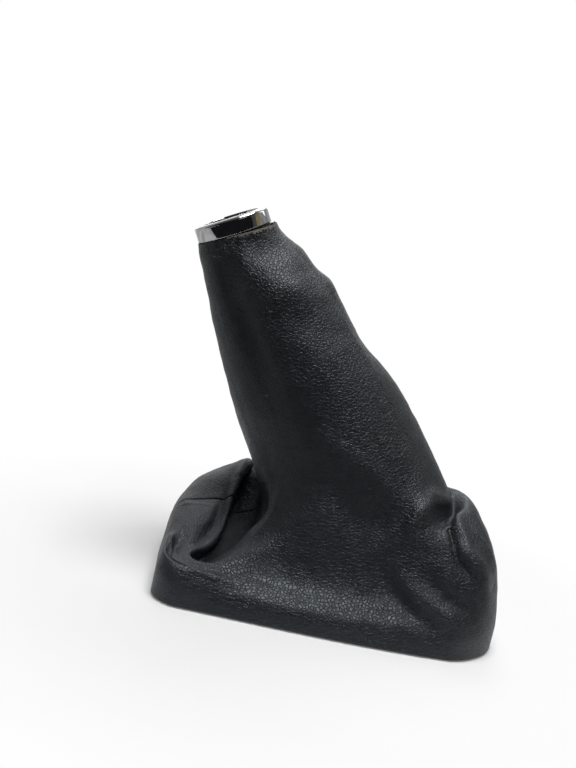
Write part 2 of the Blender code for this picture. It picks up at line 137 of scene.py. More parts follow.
def outline(place):
    """Points of the hem's outline on the table, at these shares of the way round."""
    half_length = BASE_LENGTH / 2
    half_depth = BASE_DEPTH / 2
    left, right = LEFT_CORNER_RADIUS, RIGHT_CORNER_RADIUS
    runs = np.array(
        [
            half_depth - left,
            np.pi / 2 * left,
            BASE_LENGTH - left - right,
            np.pi / 2 * right,
            half_depth - right,
        ]
    )
    ends = np.concatenate([[0], np.cumsum(runs)])
    place = np.asarray(place) % 1.0
    far = place > 0.5
    run = np.where(far, 1 - place, place) * 2 * ends[-1]
    left_turn = np.clip((run - ends[1]) / left, 0, np.pi / 2)
    right_turn = np.clip((run - ends[3]) / right, 0, np.pi / 2)
    x = -half_length + left * (1 - np.cos(left_turn))
    x = x + np.clip(run - ends[2], 0, runs[2]) + right * np.sin(right_turn)
    y = -np.clip(run, 0, runs[0]) - left * np.sin(left_turn)
    y = y + right * (1 - np.cos(right_turn)) + np.clip(run - ends[4], 0, runs[4])
    along_x = np.clip(x / half_length, -1, 1)
    along_y = np.clip(y / half_depth, -1, 1)
    x = x + SHORT_SIDE_BOW * (1 - along_y**2) * along_x**BOW_POWER
    long_bow = LONG_SIDE_BOW * (1 - along_x**2) * (1 + LONG_SIDE_SKEW * along_x)
    y = y + long_bow * along_y**BOW_POWER
    return np.stack([x, np.where(far, -y, y)], axis=-1)


def outward(place):
    """Unit normals of the outline, pointing away from the middle."""
    step = 1e-4
    along = outline(place + step) - outline(place - step)
    along = along / np.linalg.norm(along, axis=1)[:, None]
    return np.stack([along[:, 1], -along[:, 0]], axis=-1)


PERIMETER = 2 * (BASE_LENGTH + BASE_DEPTH)
print("hem is about", round(1000 * PERIMETER), "mm round")

# %% [markdown]
# The collar sits on an axis that leans to the left and nods to the viewer. Below it
# the neck is a stack of tilted ellipses that swell towards the base. The rings close
# to the collar bulge, and the cut edge flares out and drops on the right, where it
# shows as a raw strip below the metal.

# %% The collar's axis and the neck's rings
LEATHER = 1.2 * MM
GAP = 0.3 * MM
COLLAR_DIAMETER = 37.0 * MM
COLLAR_LENGTH = 7.5 * MM
COLLAR_SHIFT = 77.7 * MM
COLLAR_HEIGHT = 170.2 * MM
COLLAR_LEAN, COLLAR_NOD = np.radians([28.5, 4.8])
SLEEVE_FOOT_DIAMETER = 34.4 * MM
FOOT_SHIFT = 4.6 * MM
FOOT_HEIGHT = 70.5 * MM
FOOT_WIDTH = 85.4 * MM
FOOT_DEPTH = 74.0 * MM
FOOT_LEAN = np.radians(27.0)
NECK_BOW = 1.6 * MM
BULGE_DROP = 4.0 * MM
BULGE = 1.1 * MM
EDGE_FLARE = 1.6 * MM
EDGE_DROP = 1.2 * MM
# per cent of the way up, and of the narrowing in width and in depth
NECK_RINGS = ((31, 17, 22), (62, 46, 51), (90, 84, 84))


def ring_axes(lean, nod):
    """Directions along the neck, across it to the right, and across it to the back."""
    axis = np.array([-np.sin(lean) * np.cos(nod), -np.sin(nod), np.cos(lean) * np.cos(nod)])
    width = np.array([np.cos(lean), 0.0, np.sin(lean)])
    return axis, width, np.cross(axis, width)


def collar_frame():
    """Middle of the collar's lower edge and the collar's three directions."""
    axis, width, depth = ring_axes(COLLAR_LEAN, COLLAR_NOD)
    middle = np.array([-COLLAR_SHIFT, 0.0, COLLAR_HEIGHT])
    return middle - axis * COLLAR_LENGTH / 2, axis, width, depth


def ring(place, centre, half_width, half_depth, width, depth):
    turn = 2 * np.pi * np.asarray(place)[:, None]
    return centre - half_width * np.cos(turn) * width - half_depth * np.sin(turn) * depth


def neck_rings(place):
    """Rings of points from the neck's foot up to the leather's cut edge."""
    lower, axis, width, depth = collar_frame()
    foot = np.array([-FOOT_SHIFT, 0.0, FOOT_HEIGHT])
    to_right = np.clip(-np.cos(2 * np.pi * np.asarray(place)), 0, 1)[:, None]
    edge = SLEEVE_FOOT_DIAMETER / 2 + GAP + LEATHER + EDGE_FLARE * to_right
    swell = COLLAR_DIAMETER / 2 + BULGE + EDGE_FLARE * to_right
    drop = GAP + EDGE_DROP * to_right
    rings = []
    for way, in_width, in_depth in ((0, 0, 0),) + NECK_RINGS:
        share = way / 100
        lean = FOOT_LEAN + (COLLAR_LEAN - FOOT_LEAN) * share
        _, across, back = ring_axes(lean, COLLAR_NOD * share**2)
        centre = foot + (lower - foot) * share
        centre[0] += NECK_BOW * 4 * share * (1 - share)
        half_width = FOOT_WIDTH / 2 + (COLLAR_DIAMETER - FOOT_WIDTH) / 2 * in_width / 100
        half_depth = FOOT_DEPTH / 2 + (COLLAR_DIAMETER - FOOT_DEPTH) / 2 * in_depth / 100
        rings.append(ring(place, centre, half_width, half_depth, across, back))
    rings.append(ring(place, lower - axis * (BULGE_DROP + drop), swell, swell, width, depth))
    rings.append(ring(place, lower - axis * drop, edge, edge, width, depth))
    return rings


print("neck has", len(neck_rings(np.zeros(1))), "rings from its foot to its cut edge")

# %% [markdown]
# The folds of the base are the hard part. They could be simulated as cloth, but a
# simulation doesn't fold the same way as one particular photograph. So the folds are
# a plan: at twenty places round the hem, seven points up the leather say how far in
# and how high it lies. Where a point lies further out than the one before it, the
# leather has folded back over itself, as in the rolled lip on the left. The solid
# model has the same plan with fewer turns, so some folds here run a little deeper.

# %% The plan of folds
HEM_RADIUS = 1.3 * MM
SHOULDER, BROW, DIP, CROWN, LIP, TUCK, FOOT, NECK = range(1, 9)
FOLD_PLAN = (
    # place, shoulder, brow, dip, crown, lip, tuck, foot
    (0.0, (1, 26), (12, 44), (31, 48), (55, 51), (76, 54), (70, 43), (108, 50)),
    (5.0, (1, 23), (11, 35), (26, 38), (44, 38), (65, 33), (60, 26), (100, 40)),
    (7.8, (1, 20), (6, 30), (14, 27), (29, 30), (50, 28), (47, 21), (91, 36)),
    (10.1, (1, 18), (7, 27), (12, 24), (19, 27), (28, 28), (27, 19), (74, 34)),
    (12.0, (1, 15), (8, 23), (15, 24), (23, 26), (32, 27), (46, 28), (77, 40)),
    (15.0, (3, 10), (10, 17), (24, 22), (38, 25), (53, 31), (65, 38), (85, 50)),
    (21.0, (3, 9), (11, 15), (31, 20), (49, 24), (64, 32), (75, 44), (84, 61)),
    (27.0, (3, 9), (11, 15), (31, 20), (49, 25), (64, 33), (75, 46), (83, 64)),
    (33.0, (3, 9), (10, 17), (26, 24), (41, 32), (55, 45), (67, 61), (80, 79)),
    (37.0, (0, 14), (8, 28), (17, 38), (29, 52), (47, 67), (54, 74), (70, 88)),
    (40.0, (0, 20), (6, 41), (12, 54), (27, 68), (50, 79), (58, 76), (74, 94)),
    (45.0, (0, 17), (6, 43), (12, 59), (22, 74), (45, 90), (56, 81), (69, 98)),
    (50.0, (0, 17), (6, 44), (13, 61), (24, 75), (46, 90), (59, 90), (73, 101)),
    (60.0, (0, 20), (7, 38), (17, 50), (30, 58), (47, 68), (62, 79), (80, 96)),
    (68.0, (0, 16), (11, 26), (22, 33), (34, 40), (48, 50), (61, 62), (78, 81)),
    (76.0, (0, 17), (15, 27), (30, 33), (42, 38), (59, 45), (76, 55), (89, 71)),
    (84.0, (0, 20), (11, 31), (25, 40), (38, 47), (55, 54), (74, 62), (90, 77)),
    (90.0, (0, 20), (10, 34), (21, 46), (34, 56), (59, 66), (73, 70), (86, 74)),
    (92.5, (0, 23), (11, 40), (24, 52), (42, 61), (78, 74), (84, 68), (96, 68)),
    (95.5, (0, 26), (13, 44), (28, 54), (47, 61), (80, 68), (77, 58), (106, 60)),
)


def round_the_loop(stations, values, place):
    """Smooth curve through values at stations, closed on itself."""
    at = np.concatenate([stations[-2:] - 1, stations, stations[:2] + 1])
    value = np.concatenate([values[-2:], values, values[:2]])
    step = np.diff(at)
    slope = np.diff(value, axis=0) / step[:, None]
    before, after = step[:-1, None], step[1:, None]
    tangent = (slope[:-1] * after + slope[1:] * before) / (before + after)
    place = np.asarray(place) % 1.0
    k = np.clip(np.searchsorted(at, place, side="right") - 1, 1, len(at) - 3)
    t = ((place - at[k]) / step[k])[:, None]
    h = step[k][:, None]
    start = (2 * t**3 - 3 * t**2 + 1) * value[k] + (t**3 - 2 * t**2 + t) * h * tangent[k - 1]
    end = (3 * t**2 - 2 * t**3) * value[k + 1] + (t**3 - t**2) * h * tangent[k]
    return start + end


def control_points(place):
    """Points up the leather at each place: hem, folds of the base, then the neck."""
    hem = outline(place)
    rings = neck_rings(place)
    inward = rings[0][:, :2] - hem
    stations = np.array([line[0] for line in FOLD_PLAN]) / 100
    points = [np.column_stack([hem, np.full(len(hem), HEM_RADIUS)])]
    for level in range(SHOULDER, NECK):
        plan = np.array([line[level] for line in FOLD_PLAN]) / 100
        share = round_the_loop(stations, plan, place)
        flat = hem + inward * share[:, :1]
        points.append(np.column_stack([flat, share[:, 1] * FOOT_HEIGHT]))
    return np.array(points + rings)


def through(points, steps):
    """Centripetal spline through points[j], with steps[j] rows in span j."""
    first = 2 * points[0] - points[1]
    last = 2 * points[-1] - points[-2]
    chain = np.concatenate([[first], points, [last]])
    length = np.linalg.norm(np.diff(chain, axis=0), axis=-1)
    knots = np.concatenate([np.zeros((1, points.shape[1])), np.cumsum(np.sqrt(length), axis=0)])
    rows = []
    for j, count in enumerate(steps):
        p0, p1, p2, p3 = chain[j : j + 4]
        t0, t1, t2, t3 = knots[j : j + 4, :, None]
        for f in np.arange(count) / count:
            t = t1 + (t2 - t1) * f
            a1 = ((t1 - t) * p0 + (t - t0) * p1) / (t1 - t0)
            a2 = ((t2 - t) * p1 + (t - t1) * p2) / (t2 - t1)
            a3 = ((t3 - t) * p2 + (t - t2) * p3) / (t3 - t2)
            b1 = ((t2 - t) * a1 + (t - t0) * a2) / (t2 - t0)
            b2 = ((t3 - t) * a2 + (t - t1) * a3) / (t3 - t1)
            rows.append(((t2 - t) * b1 + (t - t1) * b2) / (t2 - t1))
    rows.append(points[-1])
    return np.array(rows)


print("fold plan:", len(FOLD_PLAN), "places round the hem")

# %% [markdown]
# Softer creases are pressed into that surface afterwards. Each is a path over the
# leather with a height and a spread: the surface moves along its normal, most on the
# path and less to either side. The first group shapes the form that can be seen from
# a step away. The second group is finer: puckers beside the seams and wrinkles in the
# pocket. Slow waves add the soft unevenness that keeps a highlight from looking
# machined.

# %% Creases
FOLD_HEIGHT = 1.0 * MM
FOLD_SPREAD = 5.0 * MM
PATH_STEPS = 8
# a crease runs out at both ends, more abruptly with a lower power
CREASE_END = 0.03
CREASE_FADE = 0.6
CREASES = (
    # height, spread, then places round the hem and spans up the leather
    # valleys and ridges that fan out to the front right corner
    (-2.2, 0.9, ((32.2, 5.2), (33.3, 3.6), (34.3, 2.2), (35, 1.3))),
    (2.0, 0.9, ((33.5, 4.9), (34.6, 3.6), (35.8, 2.5), (37, 1.6))),
    (-1.8, 0.8, ((35.2, 4.5), (36.3, 3.4), (37.5, 2.4), (38.6, 1.7))),
    (2.2, 0.8, ((38.5, 4.6), (39.2, 3.9), (39.7, 3.0), (40.2, 2.0))),
    # hollow left of the right fold
    (-0.5, 1.0, ((36.8, 6.1), (40, 6.1), (43, 6.0))),
    # the crisp fold that runs down from the right seam in an S
    (-2.6, 0.36, ((42.5, 6.1), (39.9, 5.1), (38.9, 4.6), (38.4, 4.2), (38.6, 3.7), (39, 3.0))),
    (1.2, 0.42, ((43.5, 5.6), (41.2, 5.0), (40.1, 4.5), (39.7, 4.1), (40, 3.6), (40.4, 2.9))),
    # the ridge of the curl at the front left, which runs out along the front
    (1.6, 0.34, ((5.6, 1.7), (7.4, 2.6), (9.2, 3.1), (11.5, 3.05), (13.2, 2.8), (16.5, 2.7))),
    # the right fold's rim, which arches over to the right seam
    (2.2, 0.8, ((49, 6.5), (44, 6.6), (40, 6.9), (37, 6.8), (35.4, 6.2), (36.2, 5.3))),
    # the lip on the left is rolled to a thin bead, over a dome that is slightly hollow
    (
        1.4,
        0.36,
        ((93, 5.1), (96.5, 4.95), (100, 4.92), (104.5, 4.9), (107.1, 4.9), (109.8, 4.75)),
    ),
    (-1.2, 0.45, ((95, 4.5), (98, 4.4), (101, 4.35), (104.5, 4.4), (107.5, 4.35))),
    (2.4, 0.6, ((88.5, 5.7), (91, 5.4), (94, 5.1), (97, 4.95))),
    # the neck's foot lies flatter behind the lip
    (-3.4, 1.9, ((1, 7.7), (5, 7.6), (8, 7.6), (11.5, 7.8))),
    # arc across the front of the neck's foot and the hollow below it
    (1.3, 1.0, ((22.3, 8.45), (26.3, 8.2), (31.7, 7.65), (36, 6.9))),
    (-2.2, 1.8, ((22, 7.9), (26.5, 7.4), (31, 6.9), (33.5, 6.5))),
    # groove down the neck's near left, and the swelling to its right
    (-2.2, 1.5, ((16.5, 11.7), (17.1, 10.0), (16.2, 8.8))),
    (2.4, 1.7, ((24, 10.6), (30, 10.4), (38, 10.3))),
    (-2.4, 1.5, ((24, 11.4), (32, 11.2), (42, 11.1))),
    (-1.0, 1.8, ((27, 10.0), (33, 9.8), (40, 9.7))),
    # swellings and a long dent on the neck's right side
    (1.5, 1.4, ((44, 10.75), (50, 10.75), (56, 10.75))),
    (2.2, 1.4, ((43, 10.25), (50, 10.25), (57, 10.25))),
    (-3.4, 3.2, ((41, 9.4), (50, 9.42), (59, 9.45))),
)
FINE_CREASES = (
    # edge of the seam allowance beside the left seam, on the dome
    (0.35, 0.16, ((1.1, 1.2), (1.0, 2.2), (1.1, 3.2), (1.6, 4.2))),
    # puckers that run off the left seam
    (-0.35, 0.22, ((0.2, 2.1), (1.4, 2.3), (2.8, 2.2))),
    (0.30, 0.22, ((0.2, 2.6), (1.6, 2.8), (3.2, 2.9))),
    (-0.30, 0.25, ((99.8, 2.4), (98.4, 2.6), (97.0, 2.5))),
    # wrinkles down into the pocket
    (0.5, 0.35, ((8.6, 7.9), (9.0, 7.2), (9.2, 6.6))),
    (-0.5, 0.35, ((10.2, 8.1), (10.6, 7.4), (10.9, 6.8))),
    (0.4, 0.35, ((12.0, 8.0), (12.3, 7.3), (12.6, 6.6))),
    # fine lines by the right fold
    (-0.4, 0.25, ((38.9, 3.0), (39.9, 2.4), (41.2, 2.1))),
    (0.4, 0.25, ((41.6, 4.4), (42.0, 3.6), (42.1, 2.8))),
    (-0.35, 0.22, ((36.8, 1.4), (38.2, 1.2), (39.5, 1.3))),
    # short ripples under the collar
    (-0.45, 0.35, ((18, 12.6), (18.3, 11.9), (18.9, 11.3))),
    (0.40, 0.35, ((21, 12.6), (21.6, 11.9), (22.4, 11.4))),
    (-0.40, 0.35, ((31, 12.5), (31.5, 11.8), (32.5, 11.3))),
    (0.35, 0.35, ((37, 12.5), (37.5, 11.9), (38.5, 11.5))),
)
# height and length in millimetres, and phase
WAVES = ((0.16, 23, 0.7), (0.12, 15, 2.1), (0.07, 8.5, 4.4))
WAVE_BEND, WAVE_BEND_PITCH = 1.3, 0.7
WAVE_RISE_PITCH, WAVE_DRIFT_PITCH = 0.8, 0.5


def surface_normals(grid):
    """Outward unit normals of a grid that closes on itself round the hem."""
    across = np.roll(grid, -1, axis=1) - np.roll(grid, 1, axis=1)
    up = np.gradient(grid, axis=0)
    normal = np.cross(across, up)
    return normal / np.linalg.norm(normal, axis=-1, keepdims=True)


def crease_path(path):
    """Points in space along a crease, read from the smooth surface."""
    knots = np.array(path, float)
    ends = np.array([2 * knots[0] - knots[1], 2 * knots[-1] - knots[-2]])
    chain = np.concatenate([ends[:1], knots, ends[1:]])
    spots = []
    for a, b, c, d in zip(chain, chain[1:], chain[2:], chain[3:]):
        for f in np.arange(PATH_STEPS) / PATH_STEPS:
            cubic = (3 * b - a - 3 * c + d) * f**3
            spots.append((2 * b + (c - a) * f + (2 * a - 5 * b + 4 * c - d) * f**2 + cubic) / 2)
    spots.append(knots[-1])
    spots = np.array(spots)
    levels = through(control_points(spots[:, 0] / 100), [PATH_STEPS] * len(SPAN_STEPS))
    row = np.clip(spots[:, 1] * PATH_STEPS, 0, len(levels) - 1.001)
    low = row.astype(int)
    column = np.arange(len(spots))
    share = (row - low)[:, None]
    return levels[low, column] * (1 - share) + levels[low + 1, column] * share


def press_creases(grid, creases):
    """Raise the ridges and sink the valleys along the surface's normals."""
    lift = np.zeros(grid.shape[:2])
    for height, spread, path in creases:
        line = crease_path(path)
        nearest = np.full(grid.shape[:2], np.inf)
        along = np.zeros(grid.shape[:2])
        for i, (start, end) in enumerate(zip(line, line[1:])):
            run = end - start
            share = np.clip((grid - start) @ run / (run @ run), 0, 1)
            away = np.linalg.norm(grid - start - share[..., None] * run, axis=-1)
            closer = away < nearest
            nearest[closer] = away[closer]
            along[closer] = ((i + share) / (len(line) - 1))[closer]
        inner = np.clip(along, CREASE_END, 1 - CREASE_END)
        fade = np.sin(np.pi * inner) ** CREASE_FADE
        lift += height * fade * np.exp(-((nearest / (spread * FOLD_SPREAD)) ** 2))
    return grid + surface_normals(grid) * (lift * FOLD_HEIGHT)[..., None]


def soft_unevenness(grid):
    """Sum of slow waves in three directions, in metres."""
    lift = np.zeros(grid.shape[:2])
    for height, length, phase in WAVES:
        turn = 2 * np.pi * grid / (length * MM)
        bend = WAVE_BEND * np.sin(turn[..., 1] * WAVE_BEND_PITCH + phase)
        drift = np.sin(turn[..., 0] * WAVE_DRIFT_PITCH - phase)
        wave = np.sin(turn[..., 0] + bend) * np.cos(turn[..., 2] * WAVE_RISE_PITCH + drift)
        lift += height * MM * wave
    return lift


print(len(CREASES), "creases and", len(FINE_CREASES), "finer ones")

# %% [markdown]
# Each panel is a closed shell: an outer skin, an inner skin one leather thickness
# further in, and cut edges between them. Along the seams both panels turn slightly
# inwards, which leaves the fine dark line that a sewn seam shows. The grid is dense
# where the folds are tight and wide where the leather is calm.

# %% Columns round the hem and rows of the turned edge
SPAN_STEPS = (8, 8, 8, 10, 14, 16, 12, 14, 18, 18, 20, 8, 8)
# from, to (per cent round the hem) and how many columns
NEAR_STEPS = ((0.0, 13.0, 70), (13.0, 31.0, 56), (31.0, 43.0, 66), (43.0, 50.0, 26))
FAR_STEPS = ((50.0, 60.0, 30), (60.0, 86.0, 60), (86.0, 100.0, 60))
HEM_WIDTH = 10.0 * MM
HEM_INNER_RADIUS = 0.1 * MM
HEM_FLAT_ROWS = 5
HEM_ARC_STEPS = 4
SEAM_GAP = 0.3 * MM
SEAM_DIP = 0.8 * MM
SEAM_ROLL = 1.4 * MM
SEAM_COLUMNS = 5


def places_of(stretches):
    """Places of a panel's columns, closer together beside each seam."""
    places = []
    for start, end, count in stretches:
        places += list(start + (end - start) * np.arange(count) / count)
    places.append(stretches[-1][1])
    roll = 100 * SEAM_ROLL / PERIMETER
    steps = roll * np.arange(1, SEAM_COLUMNS) / (SEAM_COLUMNS - 1)
    inner = [p for p in places if places[0] + roll < p < places[-1] - roll]
    start = [places[0]] + list(places[0] + steps)
    return np.array(start + inner + list(places[-1] - steps[::-1]) + [places[-1]]) / 100


def hem_rows(place):
    """The turned-under flat of the hem and its rounded corner, outer and inner."""
    hem, away = outline(place), outward(place)

    def row(inset, height):
        return np.column_stack([hem - away * inset, np.full(len(hem), height)])

    corner = LEATHER + HEM_INNER_RADIUS
    outer = [row(inset, 0.0) for inset in np.linspace(HEM_WIDTH, HEM_RADIUS, HEM_FLAT_ROWS)]
    inner = [row(inset, LEATHER) for inset in np.linspace(HEM_WIDTH, corner, HEM_FLAT_ROWS)]
    for turn in np.linspace(0, np.pi / 2, HEM_ARC_STEPS + 1)[1:-1]:
        back, up = 1 - np.sin(turn), 1 - np.cos(turn)
        outer.append(row(HEM_RADIUS * back, HEM_RADIUS * up))
        inner.append(row(LEATHER + HEM_INNER_RADIUS * back, LEATHER + HEM_INNER_RADIUS * up))
    return outer, inner


near_places = places_of(NEAR_STEPS)
far_places = places_of(FAR_STEPS)
all_places = np.concatenate([near_places, far_places[1:-1]])
print(len(near_places), "columns on the near panel,", len(far_places), "on the far one")

# %% [markdown]
# The inner skin can't just follow the outer one's normals: in a tight fold they would
# cross. So the ways in are averaged with their neighbours a few times, which shortens
# them where the leather turns sharply. The bend of each point is measured too, because
# ridges wear, and hollows get a painted shade.

# %% The gaiter's two skins
DEPTH_ROUNDS = 12
BEND_REACH = 3
# rows over which the unevenness fades out, at the hem and at the cut edge
CALM_HEM_ROWS = 12
CALM_TOP_ROWS = 8


def leather_depths(outer):
    """Ways in to the inner skin, shorter where a fold is too tight for the leather."""
    depths = surface_normals(outer) * LEATHER
    for _ in range(DEPTH_ROUNDS):
        depths = (np.roll(depths, 1, axis=1) + 2 * depths + np.roll(depths, -1, axis=1)) / 4
        padded = np.concatenate([depths[:1], depths, depths[-1:]])
        depths = (padded[:-2] + 2 * padded[1:-1] + padded[2:]) / 4
    return depths


def bend_of(grid):
    """How sharply each point stands out of its neighbours, for worn ridges and painted shade in
    hollows.
    """
    before, after = np.roll(grid, BEND_REACH, axis=1), np.roll(grid, -BEND_REACH, axis=1)
    padded = np.concatenate([grid[:1]] * BEND_REACH + [grid] + [grid[-1:]] * BEND_REACH)
    below, above = padded[: -2 * BEND_REACH], padded[2 * BEND_REACH :]
    spread = np.linalg.norm(before - after, axis=-1) + np.linalg.norm(below - above, axis=-1)
    lean = 2 * grid - (before + after) / 2 - (below + above) / 2
    out = (lean * surface_normals(grid)).sum(axis=-1)
    return out / np.maximum(spread, 1e-5)


def leather_skins(place):
    """Outer skin, inner skin and bend of the whole gaiter, hem to cut edge."""
    smooth = through(control_points(place), SPAN_STEPS)
    outer = press_creases(press_creases(smooth, CREASES), FINE_CREASES)
    rows = np.arange(len(outer))
    calm = np.clip(rows / CALM_HEM_ROWS, 0, 1)
    calm = calm * np.clip((rows[-1] - rows) / CALM_TOP_ROWS, 0, 1)
    uneven = soft_unevenness(outer) * calm[:, None]
    outer = outer + surface_normals(outer) * uneven[..., None]
    inner = outer - leather_depths(outer)
    bend = bend_of(outer)
    below, above = hem_rows(place)
    bend = np.concatenate([np.zeros((len(below), len(place))), bend])
    return np.array(below + list(outer)), np.array(above + list(inner)), bend


outer_skin, inner_skin, skin_bend = leather_skins(all_places)
skin_normals = surface_normals(outer_skin)
HEM_ROWS = len(outer_skin) - sum(SPAN_STEPS) - 1
top = outer_skin[..., 2].max() / MM
print("outer skin:", outer_skin.shape[:2], "points, top at", round(top, 1), "mm")

# %% [markdown]
# The solid model stands with the middle of its box on the origin, so the skins are
# moved by one fixed amount. It is found by comparing one length in both: the right
# side of the base frame, which follows the hem's outline one leather further in.

# %% Move from the hem's own middle to the solid model's origin
frame_low, frame_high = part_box("base_frame")
frame_reach = BASE_LENGTH / 2 + SHORT_SIDE_BOW - LEATHER - GAP
STAND = np.array([frame_high[0] - frame_reach, (frame_low[1] + frame_high[1]) / 2, 0.0])
print("stand:", (STAND / MM).round(2), "mm")

# %% [markdown]
# A material is a graph of nodes, and node graphs are tedious to write one link at a
# time. Three small helpers make them read like sums. A Wire stands for one output
# socket and turns plus, minus and times into Math nodes. A Graph adds any node from
# its type, its settings and what goes into its sockets. A Finish is the graph of one
# material, laid out on the piece's own coordinates, with the few patterns that several
# materials share.

# %% Helpers for nodes
class Wire:
    """An output socket that can be added, multiplied and so on."""

    def __init__(self, graph, socket):
        self.graph = graph
        self.socket = socket

    def also(self, output):
        """Another output of the same node."""
        return Wire(self.graph, self.socket.node.outputs[output])

    def __add__(self, other):
        return self.graph.math("ADD", self, other)

    def __sub__(self, other):
        return self.graph.math("SUBTRACT", self, other)

    def __rsub__(self, other):
        return self.graph.math("SUBTRACT", other, self)

    def __mul__(self, other):
        return self.graph.math("MULTIPLY", self, other)

    __radd__ = __add__
    __rmul__ = __mul__


class Graph:
    """A tree of nodes, whose short type names get the tree's own prefix."""

    prefix = "ShaderNode"

    def __init__(self, tree):
        self.tree = tree

    def feed(self, socket, value):
        if isinstance(value, Wire):
            self.tree.links.new(value.socket, socket)
        else:
            socket.default_value = value

    def node(self, kind, settings=None, inputs=None, output=0):
        made = self.tree.nodes.new(kind if "Node" in kind else self.prefix + kind)
        for name, value in (settings or {}).items():
            setattr(made, name, value)
        for name, value in (inputs or {}).items():
            self.feed(made.inputs[name], value)
        return Wire(self, made.outputs[output])

    def math(self, operation, first, second):
        return self.node("ShaderNodeMath", {"operation": operation}, {0: first, 1: second})

    def ease(self, value, low, high, to_low=0.0, to_high=1.0):
        """Smooth step from low to high."""
        settings = {"interpolation_type": "SMOOTHSTEP"}
        inputs = {"Value": value, "From Min": low, "From Max": high}
        inputs |= {"To Min": to_low, "To Max": to_high}
        return self.node("MapRange", settings, inputs)


class Finish(Graph):
    """One material and its nodes."""

    def __init__(self, name):
        self.material = bpy.data.materials.new(name)
        self.material.use_nodes = True
        super().__init__(self.material.node_tree)
        self.shader = self.tree.nodes["Principled BSDF"]
        self.place = self.node("TexCoord", output="Object")

    def noise(self, size, detail=2.0, rough=0.5, output="Fac", place=None):
        """Soft clouds of about the given size in metres."""
        inputs = {"Vector": place or self.place, "Scale": 1 / size}
        inputs |= {"Detail": detail, "Roughness": rough}
        return self.node("TexNoise", None, inputs, output)

    def blend(self, share, first, second):
        """Mix of two colours."""
        pair = [tone if isinstance(tone, Wire) else (*tone, 1.0) for tone in (first, second)]
        # the Mix node's colours are its sockets 6 and 7 and its output 2
        inputs = {0: share, 6: pair[0], 7: pair[1]}
        return self.node("Mix", {"data_type": "RGBA"}, inputs, 2)

    def shifted(self, size, reach):
        """The place, pushed about by clouds, so that a pattern isn't too regular."""
        push = self.noise(size, output="Color")
        centred = self.node("VectorMath", {"operation": "SUBTRACT"}, {0: push, 1: (0.5,) * 3})
        scaled = self.node("VectorMath", {"operation": "SCALE"}, {0: centred, "Scale": reach})
        return self.node("VectorMath", {"operation": "ADD"}, {0: self.place, 1: scaled})

    def bump(self, height, depth):
        return self.node("Bump", None, {"Height": height, "Distance": depth})

    def set(self, **sockets):
        for name, value in sockets.items():
            self.feed(self.shader.inputs[name.replace("_", " ")], value)
        return self.material


print("node helpers ready")

# %% [markdown]
# Upholstery leather has a pebbled grain: small rounded cells with fine valleys
# between them. Distance to the cell edge of a Voronoi pattern gives exactly that.
# Clouds push the cells about so that they aren't too regular, a finer noise roughens
# their tops, and slower clouds make the grain flatter in patches. Ridges are polished
# a little, valleys stay dull and get a painted shade, and the bend of the mesh tells
# which is which.

# %% Leather grain
GRAIN = 1.55 * MM
LEATHER_BLACK = (0.0055, 0.0058, 0.0075)
POLISHED_BLACK = (0.014, 0.0143, 0.017)
# painted shade: the darker colour given to the hollows of the folds
HOLLOW_SHADE_BLACK = (0.0035, 0.0035, 0.0042)
CRACK_BLACK = (0.0015, 0.0015, 0.0018)
FADED_BLACK = (0.0078, 0.0078, 0.0075)


def black_leather():
    """Pebbled grain, polished on its ridges, with painted shade in its hollows."""
    finish = Finish("black_leather")
    bend = finish.node("Attribute", {"attribute_name": "bend"}, output="Fac")
    cell = {"feature": "DISTANCE_TO_EDGE"}
    pushed = finish.shifted(2.6 * MM, 1.0 * MM)
    edge = finish.node("TexVoronoi", cell, {"Vector": pushed, "Scale": 1 / GRAIN})
    small = finish.node("TexVoronoi", cell, {"Vector": pushed, "Scale": 2.1 / GRAIN})
    clouds = finish.noise(26 * MM, 3.0)
    pores = finish.noise(0.35 * MM, 3.0, 0.6)
    pebble = finish.ease(edge, 0.0, 0.2)
    crack = finish.ease(edge, 0.02, 0.1, 1.0, 0.0)
    wrinkle = finish.ease(small, 0.0, 0.2)
    depth = finish.ease(clouds, 0.35, 0.65, 0.7, 1.0)
    height = pebble * depth + wrinkle * depth * 0.2 + pores * 0.08
    worn = finish.ease(bend, 0.01, 0.09)
    # painted shade: the hollows of the folds get a darker colour, and they are made a little
    # rougher too
    shaded_hollow = finish.ease(bend, -0.09, -0.01, 1.0, 0.0)
    faded = finish.ease(clouds, 0.4, 0.7, 0.0, 0.35)
    colour = finish.blend(worn, LEATHER_BLACK, POLISHED_BLACK)
    colour = finish.blend(shaded_hollow, colour, HOLLOW_SHADE_BLACK)
    colour = finish.blend(crack * 0.7, colour, CRACK_BLACK)
    return finish.set(
        Base_Color=finish.blend(faded, colour, FADED_BLACK),
        Roughness=0.42 + crack * 0.18 - worn * 0.05 + shaded_hollow * 0.1 + (pores - 0.5) * 0.1,
        Specular_IOR_Level=0.58,
        Specular_Tint=(0.84, 0.91, 1.0, 1.0),
        Normal=finish.bump(height, 0.15 * MM),
    )


def raw_leather():
    """Back and cut edges: grey-brown fibres with darker stains."""
    finish = Finish("raw_leather")
    pushed = finish.shifted(1.5 * MM, 1.2 * MM)
    fibres = finish.noise(0.5 * MM, 5.0, 0.7, place=pushed)
    stains = finish.ease(finish.noise(9 * MM, 3.0), 0.45, 0.7, 0.0, 0.6)
    colour = finish.blend(fibres, (0.085, 0.078, 0.066), (0.20, 0.185, 0.16))
    return finish.set(
        Base_Color=finish.blend(stains, colour, (0.07, 0.066, 0.06)),
        Roughness=0.86 + fibres * 0.1,
        Normal=finish.bump(fibres, 0.25 * MM),
    )


LEATHER_FINISH = black_leather()
RAW_FINISH = raw_leather()
print("leather grain of", GRAIN / MM, "mm cells")

# %% [markdown]
# Now the panels are made. The near one is the side that faces the viewer, the far
# one closes the gaiter behind it between the same two seams. The mesh keeps the bend of
# each point as an attribute, which the leather's material reads. By the cut edge under
# the collar the grain has frayed off, so some faces there get the raw finish.

# %% The leather panels
SEAM_FADE_ROWS = 6
